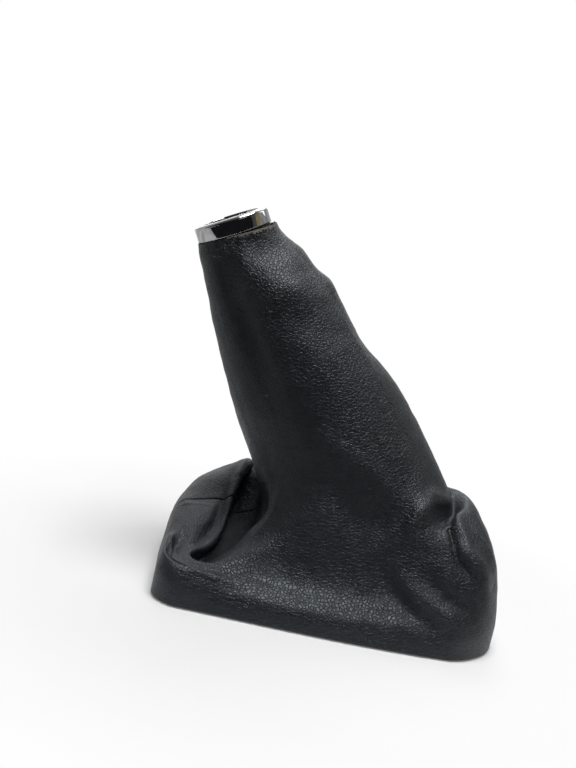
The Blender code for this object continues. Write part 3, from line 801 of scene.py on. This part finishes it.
# the left seam lies flat where the neck tucks in behind the lip
TUCK_ROW = sum(SPAN_STEPS[:7])
TUCK_ROWS = 22
INNER_ROLL = 0.6
RAW_ROWS = 2.2
RAW_START, RAW_FULL, RAW_END = 0.20, 0.26, 0.62
# height, pitch and phase of the waves that make the frayed strip ragged
RAW_WAVES = ((0.7, 410, 0), (0.6, 233, 1), (0.4, 97, 0))
SHARP_LEATHER = np.radians(60)


def link_mesh(name, mesh, materials):
    """A new object in the scene, at the origin, with this mesh."""
    for material in materials:
        mesh.materials.append(material)
    piece = bpy.data.objects.new(name, mesh)
    bpy.context.scene.collection.objects.link(piece)
    return piece


def opened_seam(skin, normals, side, rolled):
    """Moves the edge off the seam and, above the hem, rolls it in."""
    step = 1 if side == 0 else -2
    along = skin[:, side] - skin[:, step]
    along = along / np.linalg.norm(along, axis=-1, keepdims=True)
    row = np.arange(len(skin)) - HEM_ROWS
    hidden = np.exp(-(((row - TUCK_ROW) / TUCK_ROWS) ** 2)) if side == 0 else 0
    fade = (np.clip(row / SEAM_FADE_ROWS, 0, 1) * (1 - hidden))[:, None]
    moved = skin.copy()
    moved[:, side] = skin[:, side] - along * SEAM_GAP / 2
    for k in range(SEAM_COLUMNS):
        column = k if side == 0 else -1 - k
        sink = SEAM_DIP * rolled * (1 - k / (SEAM_COLUMNS - 1)) ** 2
        moved[:, column] = moved[:, column] - normals[:, column] * sink * fade
    return moved


def raw_strip(place, rows):
    """1 on the faces by the cut edge where the grain has frayed off, else 0."""
    waves = [size * np.sin(place * pitch + phase) for size, pitch, phase in RAW_WAVES]
    ragged = RAW_ROWS + sum(waves)
    growing = np.clip((place - RAW_START) / (RAW_FULL - RAW_START), 0, 1)
    frayed = ragged * growing * (place < RAW_END)
    from_top = np.arange(rows)[::-1, None]
    return (from_top + 0.5 < frayed).astype(int)


def quads(index):
    """Corners of the faces between the points of a grid of indices."""
    lower, upper = index[:-1], index[1:]
    corners = (lower[:, :-1], lower[:, 1:], upper[:, 1:], upper[:, :-1])
    return np.stack([corner.ravel() for corner in corners], axis=1)


def leather_panel(name, columns):
    """A closed shell between the two skins, over these columns."""
    normals = skin_normals[:, columns]
    skins = []
    for skin, rolled in ((outer_skin, 1.0), (inner_skin, INNER_ROLL)):
        own = opened_seam(skin[:, columns], normals, 0, rolled)
        skins.append(opened_seam(own, normals, -1, rolled) + STAND)
    rows, width = skins[0].shape[:2]
    total = rows * width
    index = np.arange(total).reshape(rows, width)
    outside = quads(index)
    border = np.concatenate([index[0], index[1:, -1], index[-1, -2::-1], index[-2:0:-1, 0]])
    after = np.roll(border, -1)
    rim = np.stack([after, border, total + border, total + after], axis=1)
    faces = np.concatenate([outside, total + outside[:, ::-1], rim])
    mesh = bpy.data.meshes.new(name)
    mesh.from_pydata(np.concatenate(skins).reshape(-1, 3).tolist(), [], faces.tolist())
    slots = np.ones(len(faces), int)
    slots[: len(outside)] = raw_strip(all_places[columns][:-1], rows - 1).ravel()
    mesh.polygons.foreach_set("material_index", slots)
    own_bend = skin_bend[:, columns].ravel()
    attribute = mesh.attributes.new("bend", "FLOAT", "POINT")
    attribute.data.foreach_set("value", np.concatenate([own_bend, own_bend * 0]))
    mesh.shade_smooth()
    mesh.set_sharp_from_angle(angle=SHARP_LEATHER)
    return link_mesh(name, mesh, [LEATHER_FINISH, RAW_FINISH])


near_columns = np.arange(len(near_places))
far_columns = np.append(np.arange(len(near_places) - 1, len(all_places)), 0)
near_leather = leather_panel("near_leather", near_columns)
far_leather = leather_panel("far_leather", far_columns)
for piece, node in ((near_leather, "near_panel"), (far_leather, "far_panel")):
    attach(piece, "root")
    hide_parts(node)
    print(piece.name, len(piece.data.polygons), "faces")

# %% [markdown]
# The leather is a sheet that was cut flat before it was sewn. Its flat size is the
# length of hem that one panel covers by the length of its longest meridian.

# %% Cut size of the panels
def lengths(steps):
    return np.linalg.norm(steps, axis=-1)


for piece, columns in ((near_leather, near_columns), (far_leather, far_columns)):
    skin = outer_skin[:, columns]
    along, upward = np.diff(skin, axis=1), np.diff(skin, axis=0)
    flat = (lengths(along[HEM_ROWS]).sum(), lengths(upward).sum(axis=0).max())
    flat = tuple(round(float(length), 3) for length in flat)

# %% [markdown]
# The collar and the sleeve inside it are turned parts. A profile of radius and height is
# drawn once and spun about the collar's axis. Spin keeps the roundness exact, where a
# bevelled cylinder would facet.

# %% Spinning a profile about the collar's axis
TURNED_STEPS = 180
MERGE_WITHIN = 1e-7
SHARP_EDGE = np.radians(35)


def arc(radius, height, size, start, turn, steps):
    """Points of a profile's rounding about one centre, in degrees from start."""
    turns = np.radians(start) + np.linspace(0, np.radians(turn), steps + 1)
    return [(radius + size * np.cos(t), height + size * np.sin(t)) for t in turns]


def body_piece(name, body, material):
    """Turns the faces outwards and keeps the body as a piece of its own."""
    bmesh.ops.recalc_face_normals(body, faces=body.faces)
    mesh = bpy.data.meshes.new(name)
    body.to_mesh(mesh)
    body.free()
    mesh.shade_smooth()
    mesh.set_sharp_from_angle(angle=SHARP_EDGE)
    return link_mesh(name, mesh, [material])


def turned(name, profile, material):
    body = bmesh.new()
    corners = [body.verts.new((radius, 0, height)) for radius, height in profile]
    edges = [body.edges.new(pair) for pair in zip(corners, corners[1:] + corners[:1])]
    spin = {"cent": (0, 0, 0), "axis": (0, 0, 1), "angle": 2 * np.pi, "steps": TURNED_STEPS}
    bmesh.ops.spin(body, geom=corners + edges, use_merge=True, **spin)
    bmesh.ops.remove_doubles(body, verts=body.verts, dist=MERGE_WITHIN)
    lower, axis, width, depth = collar_frame()
    place = Matrix((width, depth, axis)).transposed().to_4x4()
    place.translation = Vector(lower + STAND)
    bmesh.ops.transform(body, matrix=place, verts=body.verts)
    return body_piece(name, body, material)


print("turned parts have", TURNED_STEPS, "steps round")

# %% [markdown]
# Chrome has almost no colour of its own. What makes it read as chrome is what it
# mirrors, so the studio gets dark and light cards further down. The plating itself
# gets faint smears and dust that dull it in patches.

# %% Metal and plastic
CHROME, DULL_CHROME = (0.58, 0.58, 0.59), (0.50, 0.49, 0.47)


def bright_chrome():
    finish = Finish("bright_chrome")
    smear = finish.noise(4 * MM, 4.0, place=finish.shifted(9 * MM, 5 * MM))
    dust = finish.ease(finish.noise(0.6 * MM), 0.62, 0.72)
    film = finish.ease(smear, 0.45, 0.7)
    return finish.set(
        Base_Color=finish.blend(film * 0.5, CHROME, DULL_CHROME),
        Metallic=1.0,
        Roughness=0.06 + film * 0.06 + dust * 0.1,
    )


def moulded_plastic(name, colour, texture):
    """Spark-eroded mould texture with a few shiny rubs."""
    finish = Finish(name)
    grain = finish.noise(texture, 3.0, 0.6)
    rubs = finish.ease(finish.noise(12 * MM, 3.0), 0.5, 0.7)
    pale = tuple(1.6 * value for value in colour)
    return finish.set(
        Base_Color=finish.blend(rubs * 0.4, colour, pale),
        Roughness=0.6 - rubs * 0.15 + (grain - 0.5) * 0.15,
        Normal=finish.bump(grain, 0.06 * MM),
    )


CHROME_FINISH = bright_chrome()
SLEEVE_FINISH = moulded_plastic("black_sleeve_plastic", (0.018, 0.018, 0.019), 0.5 * MM)
FRAME_FINISH = moulded_plastic("black_frame_plastic", (0.022, 0.022, 0.022), 0.8 * MM)
print("finishes:", ", ".join(f.name for f in (CHROME_FINISH, SLEEVE_FINISH, FRAME_FINISH)))

# %% [markdown]
# The collar itself is plated: straight outside, with a rounded top edge, a flat lip and
# a small bead round the mouth. It caps the sleeve, so it is open from below.

# %% The plated collar
SLEEVE_DIAMETER = 31.8 * MM
COLLAR_EDGE_RADIUS = 1.8 * MM
COLLAR_FOOT_RADIUS = 0.35 * MM
COLLAR_LIP = 2.0 * MM
COLLAR_MOUTH_DIAMETER = 28.4 * MM


def collar_profile():
    outside = COLLAR_DIAMETER / 2
    recess = SLEEVE_DIAMETER / 2 + GAP
    mouth = COLLAR_MOUTH_DIAMETER / 2
    edge = COLLAR_EDGE_RADIUS
    bead = COLLAR_LIP / 4
    foot = COLLAR_FOOT_RADIUS
    profile = [(recess, 0), (outside - foot, 0)]
    profile += arc(outside - foot, foot, foot, -90, 90, 4)
    profile += arc(outside - edge, COLLAR_LENGTH - edge, edge, 0, 90, 14)
    profile += arc(mouth + bead, COLLAR_LENGTH - bead, bead, 90, 90, 6)
    profile += [(mouth, COLLAR_LENGTH - COLLAR_LIP), (recess, COLLAR_LENGTH - COLLAR_LIP)]
    return profile


collar = turned("plated_collar", collar_profile(), CHROME_FINISH)
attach(collar, "root")
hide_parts("chrome_collar")
print("collar:", len(collar.data.polygons), "faces")

# %% [markdown]
# Inside the collar a plastic sleeve holds the leather: its top slips into the metal,
# and its wider foot is what the leather is glued round. Its lower end is chamfered so
# that the lever's rod finds its way in.

# %% The sleeve
SLEEVE_WALL = 2.2 * MM
SLEEVE_DROP = 9.0 * MM


def sleeve_profile():
    outside = SLEEVE_DIAMETER / 2
    inside = outside - SLEEVE_WALL
    foot = SLEEVE_FOOT_DIAMETER / 2
    top = COLLAR_LENGTH - COLLAR_LIP - GAP
    chamfer = SLEEVE_WALL / 3
    return [
        (inside + chamfer, -SLEEVE_DROP),
        (foot - chamfer, -SLEEVE_DROP),
        (foot, -SLEEVE_DROP + chamfer),
        (foot, -GAP),
        (outside, -GAP),
        (outside, top),
        (inside, top),
        (inside, -SLEEVE_DROP + chamfer),
    ]


sleeve = turned("glued_sleeve", sleeve_profile(), SLEEVE_FINISH)
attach(sleeve, "root")
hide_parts("collar_sleeve")
print("sleeve:", len(sleeve.data.polygons), "faces")

# %% [markdown]
# The hem wraps a plastic frame. Seen from below it is an L: a low wall behind the
# leather and a flange that the turned-in hem is stapled to. It is swept round the
# same outline as the leather, in many more steps than the solid model has.

# %% The base frame
FRAME_HEIGHT = 6.5 * MM
FRAME_WALL = 2.2 * MM
FRAME_FLANGE_WIDTH = 9.0 * MM
FRAME_FLANGE_THICKNESS = 2.0 * MM
FRAME_DRAFT = 1.2 * MM
FRAME_STEPS = 320


def base_frame():
    place = np.arange(FRAME_STEPS) / FRAME_STEPS
    hem, away = outline(place), outward(place)
    # the frame keeps clear of the leather's back by the same amount outside and below
    clear = LEATHER + GAP
    section = (
        (clear, clear),
        (clear + FRAME_DRAFT, clear + FRAME_HEIGHT),
        (clear + FRAME_DRAFT + FRAME_WALL, clear + FRAME_HEIGHT),
        (clear + FRAME_WALL + FRAME_DRAFT / 2, clear + FRAME_FLANGE_THICKNESS),
        (clear + FRAME_FLANGE_WIDTH, clear + FRAME_FLANGE_THICKNESS),
        (clear + FRAME_FLANGE_WIDTH, clear),
    )
    body = bmesh.new()
    loops = []
    for inset, height in section:
        flat = hem - away * inset + STAND[:2]
        loops.append([body.verts.new((x, y, height)) for x, y in flat])
    for lower, upper in zip(loops, loops[1:] + loops[:1]):
        for i in range(FRAME_STEPS):
            j = (i + 1) % FRAME_STEPS
            body.faces.new((lower[i], lower[j], upper[j], upper[i]))
    return body_piece("hem_frame", body, FRAME_FINISH)


hem_frame = base_frame()
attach(hem_frame, "root")
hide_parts("base_frame")
print("frame:", len(hem_frame.data.polygons), "faces")

# %% [markdown]
# Staples, stitches and specks repeat, so each kind is grown by a tree of geometry
# nodes: one small form is made inside the tree and copied along a path or over a
# surface. The sizes are named inputs of the tree, and what is random has a fixed seed.
# The result is kept as a plain mesh, because an export drops live copies.

# %% Helper for patterns
class Pattern(Graph):
    """Geometry nodes that set copies of a small form on a path or a surface."""

    prefix = "GeometryNode"

    def __init__(self, name, sizes):
        super().__init__(bpy.data.node_groups.new(name, "GeometryNodeTree"))
        self.sizes = sizes
        sockets = self.tree.interface
        sockets.new_socket("Carrier", in_out="INPUT", socket_type="NodeSocketGeometry")
        for label in sizes:
            sockets.new_socket(label, in_out="INPUT", socket_type="NodeSocketFloat")
        sockets.new_socket("Pieces", in_out="OUTPUT", socket_type="NodeSocketGeometry")
        entry = self.node("NodeGroupInput")
        self.given = {label: entry.also(label) for label in ("Carrier", *sizes)}

    def vector(self, x=0.0, y=0.0, z=0.0):
        return self.node("ShaderNodeCombineXYZ", None, {"X": x, "Y": y, "Z": z})

    def chance(self, low, high, seed):
        """A random number for each copy."""
        inputs = {2: low, 3: high, "Seed": seed}
        return self.node("FunctionNodeRandomValue", {"data_type": "FLOAT"}, inputs, 1)

    def wire(self, curve, radius, sides):
        """A round wire along a curve."""
        profile = self.node("CurvePrimitiveCircle", None, {"Resolution": sides, "Radius": radius})
        inputs = {"Curve": curve, "Profile Curve": profile, "Fill Caps": True}
        return self.node("CurveToMesh", None, inputs)

    def grain(self, *size):
        """A small round grain with these three sizes."""
        ball = self.node("MeshIcoSphere", None, {"Radius": 0.5, "Subdivisions": 2})
        return self.node("Transform", None, {"Geometry": ball, "Scale": self.vector(*size)})

    def copies(self, points, form, rotation, scale=(1.0, 1.0, 1.0)):
        inputs = {"Points": points, "Instance": form, "Rotation": rotation, "Scale": scale}
        return self.node("InstanceOnPoints", None, inputs)

    def along_path(self, form, mode, spacing):
        """Copies of a form along the carrier, each turned to follow it."""
        curve = self.node("MeshToCurve", None, {"Mesh": self.given["Carrier"]})
        points = self.node("CurveToPoints", {"mode": mode}, {"Curve": curve} | spacing)
        tangent = {"Vector": points.also("Tangent")}
        facing = self.node("FunctionNodeAlignRotationToVector", {"axis": "X"}, tangent)
        return self.copies(points, form, facing)

    def scattered(self, form, seed):
        """Copies of a form over the carrier, each turned and sized by chance."""
        given = self.given
        inputs = {"Mesh": given["Carrier"], "Density": given["Per square metre"], "Seed": seed}
        points = self.node("DistributePointsOnFaces", None, inputs)
        size = self.chance(given["Smallest"], 1.0, seed + 1)
        copies = self.copies(points, form, points.also("Rotation"), size)
        spin = self.vector(z=self.chance(0.0, 2 * np.pi, seed + 2))
        return self.node("RotateInstances", None, {"Instances": copies, "Rotation": spin})

    def grown(self, carrier, pieces, material, slot):
        """Runs the tree on the carrier and keeps what grew as a plain mesh."""
        name = self.tree.name
        real = self.node("RealizeInstances", None, {0: pieces})
        last = self.tree.nodes.new("NodeGroupOutput")
        painted = self.node("SetMaterial", None, {"Geometry": real, "Material": material})
        self.feed(last.inputs[0], painted)
        holder = link_mesh(name + "_carrier", carrier, [])
        modifier = holder.modifiers.new(name, "NODES")
        modifier.node_group = self.tree
        for socket in self.tree.interface.items_tree:
            if socket.in_out == "INPUT" and socket.name in self.sizes:
                modifier[socket.identifier] = self.sizes[socket.name]
        depsgraph = bpy.context.evaluated_depsgraph_get()
        mesh = bpy.data.meshes.new_from_object(holder.evaluated_get(depsgraph))
        bpy.data.objects.remove(holder)
        bpy.data.meshes.remove(carrier)
        mesh.shade_smooth()
        piece = link_mesh(name, mesh, [])
        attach(piece, "root")
        print(name, len(mesh.polygons), "faces")


def path_mesh(line, closed):
    """A carrier whose edges run along the line."""
    mesh = bpy.data.meshes.new("path")
    edges = [(i, i + 1) for i in range(len(line) - 1)]
    mesh.from_pydata(line.tolist(), edges + [(len(line) - 1, 0)] * closed, [])
    return mesh


def skin_patch(rows, columns):
    """A carrier that is a piece of the leather's outer skin."""
    skin = outer_skin[rows][:, columns] + STAND
    index = np.arange(skin[..., 0].size).reshape(skin.shape[:2])
    mesh = bpy.data.meshes.new("patch")
    mesh.from_pydata(skin.reshape(-1, 3).tolist(), [], quads(index).tolist())
    return mesh


def dull_finish(name, low, high, size, rough, relief, detail=2.0, metal=0.0):
    """Two tones in soft clouds, rougher where they are pale."""
    finish = Finish(name)
    tone = finish.noise(size, detail)
    return finish.set(
        Base_Color=finish.blend(tone, low, high),
        Metallic=metal,
        Roughness=rough + tone * 0.2,
        Normal=finish.bump(tone, relief),
    )


print("pattern helper ready")

# %% [markdown]
# Under the base the turned-in hem is stapled to the frame's flange. The photograph
# doesn't show the underside, so the staples are a guess from such gaiters: wire staples
# about every twenty millimetres, with their backs half pressed into the leather. Each
# is a rounded loop of wire set upright, of which only the back shows.

# %% Staples under the hem
STAPLE_INSET = 6 * MM
STAPLE_SINK = 0.12 * MM
STAPLE_PATH_STEPS = 240


def hem_staples():
    sizes = {"Crown": 9 * MM, "Legs": 2.6 * MM, "Wire": 0.35 * MM, "Count": 26.0}
    tree = Pattern("hem_staples", sizes)
    crown, legs, wire, count = (tree.given[label] for label in sizes)
    loop = tree.node("CurvePrimitiveQuadrilateral", None, {"Width": crown, "Height": legs})
    rounding = {"Curve": loop, "Radius": wire * 2.0, "Count": 3}
    bent = tree.node("FilletCurve", {"mode": "POLY"}, rounding)
    upright = {"Geometry": tree.wire(bent, wire, 8), "Rotation": (np.pi / 2, 0, 0)}
    staples = tree.along_path(tree.node("Transform", None, upright), "COUNT", {"Count": count})
    place = np.arange(STAPLE_PATH_STEPS) / STAPLE_PATH_STEPS
    flat = outline(place) - outward(place) * STAPLE_INSET + STAND[:2]
    height = np.full(len(flat), sizes["Legs"] / 2 + STAPLE_SINK)
    carrier = path_mesh(np.column_stack([flat, height]), True)
    bright, dull = (0.50, 0.50, 0.50), (0.33, 0.33, 0.34)
    zinc = dull_finish("zinc_wire", bright, dull, 1.5 * MM, 0.3, 0.03 * MM, 3.0, 1.0)
    tree.grown(carrier, staples, zinc, "chrome")


hem_staples()

# %% [markdown]
# The two panels are sewn with a lockstitch that lies deep in the seam. Only short
# black stitches bridge the gap, and they give the dark line its fine rhythm.

# %% Stitches in the seams
def black_thread():
    finish = Finish("black_thread")
    plies = finish.noise(0.25 * MM, 3.0, place=finish.shifted(0.8 * MM, 0.4 * MM))
    return finish.set(
        Base_Color=finish.blend(plies, (0.010, 0.010, 0.011), (0.028, 0.028, 0.030)),
        Roughness=0.55 + plies * 0.2,
        Normal=finish.bump(plies, 0.08 * MM),
    )


def seam_stitches(name, column, material):
    sizes = {"Pitch": 3.2 * MM, "Stitch": 2.4 * MM, "Thread": 0.5 * MM}
    tree = Pattern(name, sizes)
    pitch, length, thick = (tree.given[label] for label in sizes)
    stitches = tree.along_path(tree.grain(length, thick, thick), "LENGTH", {"Length": pitch})
    above_hem = slice(HEM_ROWS, None), column
    line = outer_skin[above_hem] - skin_normals[above_hem] * SEAM_DIP + STAND
    tree.grown(path_mesh(line, False), stitches, material, "leather")


THREAD_FINISH = black_thread()
seam_stitches("left_seam_thread", 0, THREAD_FINISH)
seam_stitches("right_seam_thread", len(near_places) - 1, THREAD_FINISH)

# %% [markdown]
# Little things tell that the object is real: dried flecks of glue where the leather
# was stuck on under the collar, and a few fibres of lint caught in the grain. Both are
# scattered over a part of the leather's own surface, at random but from a fixed seed.

# %% Glue flecks and lint
GLUE_SEED, LINT_SEED = 5, 11
# where the glue ran out: rows below the cut edge, and places round the neck
GLUE_ROWS = slice(-14, -4)
GLUE_START, GLUE_END = 0.12, 0.25
LINT_ROWS = slice(HEM_ROWS + 4, None)


def glue_flecks():
    sizes = {"Per square metre": 220000.0, "Smallest": 0.15}
    sizes |= {"Length": 0.75 * MM, "Width": 0.4 * MM}
    tree = Pattern("glue_flecks", sizes)
    length, width = tree.given["Length"], tree.given["Width"]
    fleck = tree.grain(length, width, width * 0.4)
    columns = np.flatnonzero((near_places > GLUE_START) & (near_places < GLUE_END))
    carrier = skin_patch(GLUE_ROWS, columns)
    dark, pale = (0.14, 0.14, 0.13), (0.30, 0.29, 0.27)
    glue = dull_finish("dried_glue", dark, pale, 1.2 * MM, 0.7, 0.05 * MM)
    tree.grown(carrier, tree.scattered(fleck, GLUE_SEED), glue, "plastic")


def lint_fibres():
    sizes = {"Per square metre": 700.0, "Smallest": 0.3, "Bend": 0.9 * MM, "Fibre": 0.05 * MM}
    tree = Pattern("lint_fibres", sizes)
    bow = {"Resolution": 7, "Radius": tree.given["Bend"], "Sweep Angle": np.radians(100)}
    line = tree.node("CurveArc", {"mode": "RADIUS"}, bow)
    fibre = tree.wire(line, tree.given["Fibre"], 5)
    carrier = skin_patch(LINT_ROWS, near_columns)
    dark, pale = (0.30, 0.30, 0.31), (0.46, 0.46, 0.46)
    lint = dull_finish("pale_lint", dark, pale, 1.2 * MM, 0.7, 0.05 * MM)
    tree.grown(carrier, tree.scattered(fibre, LINT_SEED), lint, "leather")


glue_flecks()
lint_fibres()

# %% [markdown]
# The studio is a white table top under one wide lamp, with three weaker ones round it.
# The floor is ordinary white paint near the object, where it takes the soft shadow.
# Further out it fades into plain white, for the rays that show a background, so that
# no edge or horizon is seen. The room is dim otherwise: black leather looks black
# because most of what it mirrors is dark.

# %% The white table
FLOOR_REACH = 0.9
FLOOR_DROP = 0.3 * MM
# the floor's paint starts to fade at the first distance and is gone at the second
SHADOW_REACH = (0.11, 0.24)
BACKGROUND_RAYS = ("Is Camera Ray", "Is Glossy Ray", "Is Transmission Ray")
WHITE = (1.0, 1.0, 1.0, 1.0)


def ray_kinds(graph):
    """1 for each kind of ray that shows the background as it is, else 0."""
    rays = graph.node("LightPath")
    return [rays.also(name) for name in BACKGROUND_RAYS]


def larger(first, second):
    return first.graph.math("MAXIMUM", first, second)


def white_floor():
    finish = Finish("white_floor")
    camera_rays, glossy_rays, through_rays = ray_kinds(finish)
    paint = finish.blend(finish.noise(60 * MM), (0.90,) * 3, (0.92,) * 3)
    finish.set(Base_Color=paint, Roughness=0.9)
    away = finish.node("VectorMath", {"operation": "LENGTH"}, {0: finish.place}, "Value")
    background = larger(larger(camera_rays, glossy_rays), through_rays)
    share = finish.ease(away, *SHADOW_REACH, 0.15, 1.0) * background
    plain = finish.node("Emission", None, {"Color": WHITE, "Strength": 1.0})
    painted = Wire(finish, finish.shader.outputs[0])
    mixed = finish.node("MixShader", None, {0: share, 1: painted, 2: plain})
    finish.feed(finish.tree.nodes["Material Output"].inputs["Surface"], mixed)
    return finish.material


def flat_card(name, corners, material):
    """A card that belongs to the studio and not to the object."""
    mesh = bpy.data.meshes.new(name)
    mesh.from_pydata(corners, [], [(0, 1, 2, 3)])
    card = link_mesh(name, mesh, [material])
    card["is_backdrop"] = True
    return card


def level_corners(left, right, near, far, height):
    flat = (left, near), (right, near), (right, far), (left, far)
    return [(x, y, height) for x, y in flat]


table_corners = level_corners(-FLOOR_REACH, FLOOR_REACH, -FLOOR_REACH, FLOOR_REACH, -FLOOR_DROP)
flat_card("floor", table_corners, white_floor())
print("floor", 2 * FLOOR_REACH, "m wide")

# %% [markdown]
# The world is white where it is a background, and dim as a source of light. For
# mirrored rays it is white only behind the object, where the white sweep of a
# photographer's table would stand.

# %% The room
ROOM_LEVEL = 0.08


def white_room():
    room = bpy.data.worlds.new("white_room")
    room.use_nodes = True
    graph = Graph(room.node_tree)
    camera_rays, glossy_rays, through_rays = ray_kinds(graph)
    way = graph.node("TexCoord", output="Generated")
    behind = graph.node("SeparateXYZ", None, {0: way}, "Y")
    # a grey sweep from the table's height up, and white straight behind the object
    sweep = graph.ease(behind, -0.05, 0.1, 0.0, 0.4)
    centre = graph.ease(behind, 0.84, 0.94, 0.0, 0.6)
    mirrored = larger(glossy_rays, through_rays) * (sweep + centre)
    level = larger(camera_rays, mirrored) * (1 - ROOM_LEVEL) + ROOM_LEVEL
    background = graph.tree.nodes["Background"]
    graph.feed(background.inputs["Color"], WHITE)
    graph.feed(background.inputs["Strength"], level)
    return room


bpy.context.scene.world = white_room()
print("room level", ROOM_LEVEL)

# %% [markdown]
# Four lamps, all round discs that aim at the gaiter's middle: a wide one overhead,
# which lights the front band and the brow of the neck, and weaker ones from behind,
# from the right and from the front, which keep the shadows on the leather soft.

# %% Lamps
MIDDLE = (0.0, 0.0, 0.08)
LAMPS = (
    # name, place, size in metres, watts
    ("overhead", (0.03, -0.17, 0.98), 0.55, 8.4),
    ("behind", (0.05, 0.55, 0.85), 0.5, 1.8),
    ("right", (0.70, 0.25, 0.62), 0.4, 0.7),
    ("front", (0.35, -0.80, 0.62), 0.5, 0.2),
)

for name, place, size, power in LAMPS:
    light = bpy.data.lights.new(name, "AREA")
    light.shape = "DISK"
    light.size = size
    light.energy = power
    lamp = bpy.data.objects.new(name, light)
    way = Vector(MIDDLE) - Vector(place)
    lamp.matrix_world = way.to_track_quat("-Z", "Y").to_matrix().to_4x4()
    lamp.matrix_world.translation = place
    bpy.context.scene.collection.objects.link(lamp)
bpy.context.scene.view_settings.view_transform = "Standard"
print(len(LAMPS), "lamps are lit")

# %% [markdown]
# Chrome shows whatever stands round it. A dark card and a dark cloth before the table
# give the collar its dark body, a warm card on the right gives it a tan patch with a
# paler card beside it, and a bright card behind and a grey cloth on the left light its
# lip and its left end. All are seen only by mirrored rays, so none casts a shadow or
# shows in the picture.

# %% Cards for the chrome
CLOTH_HEIGHT = 0.002
DARK = (0.012, 0.012, 0.0135)


def card_paint(name, colour, level):
    finish = Finish(name)
    patch = finish.ease(finish.noise(0.12, 3.0), 0.4, 0.6)
    dark = tuple(0.7 * value for value in colour)
    return finish.set(
        Base_Color=(0.0, 0.0, 0.0, 1.0),
        Roughness=1.0,
        Specular_IOR_Level=0.0,
        Emission_Strength=level,
        Emission_Color=finish.blend(patch, dark, colour),
    )


def facing_card(left, right, y, low, high):
    return [(left, y, low), (right, y, low), (right, y, high), (left, y, high)]


def side_card(x, near, far, low, high):
    return [(x, near, low), (x, far, low), (x, far, high), (x, near, high)]


CARDS = (
    # name, corners, colour and level
    ("dark_card", facing_card(-1.7, 1.7, -0.95, -0.2, 0.9), DARK, 1.0),
    ("dark_cloth", level_corners(-0.7, 0.7, -0.9, -0.14, CLOTH_HEIGHT), DARK, 1.0),
    ("warm_card", side_card(0.7, -0.22, 0.02, 0.12, 0.7), (0.30, 0.25, 0.13), 1.0),
    ("pale_card", side_card(0.7, 0.02, 0.7, 0.12, 0.9), (0.36, 0.36, 0.36), 1.0),
    ("bright_card", facing_card(-0.8, 0.4, 0.96, 0.28, 0.75), (1.0, 1.0, 1.0), 1.8),
    ("grey_cloth", level_corners(-0.9, -0.13, -0.14, 0.6, CLOTH_HEIGHT), (0.60, 0.60, 0.60), 1.0),
)
for name, corners, colour, level in CARDS:
    card = flat_card(name, corners, card_paint(name, colour, level))
    card.visible_camera = card.visible_diffuse = False
    card.visible_shadow = card.visible_transmission = False
print(len(CARDS), "cards stand round the table")

# %% Finish
size = {"cad": cad_box, "visual": [list(corner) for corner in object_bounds()]}
print({key: in_mm(box) for key, box in size.items()})
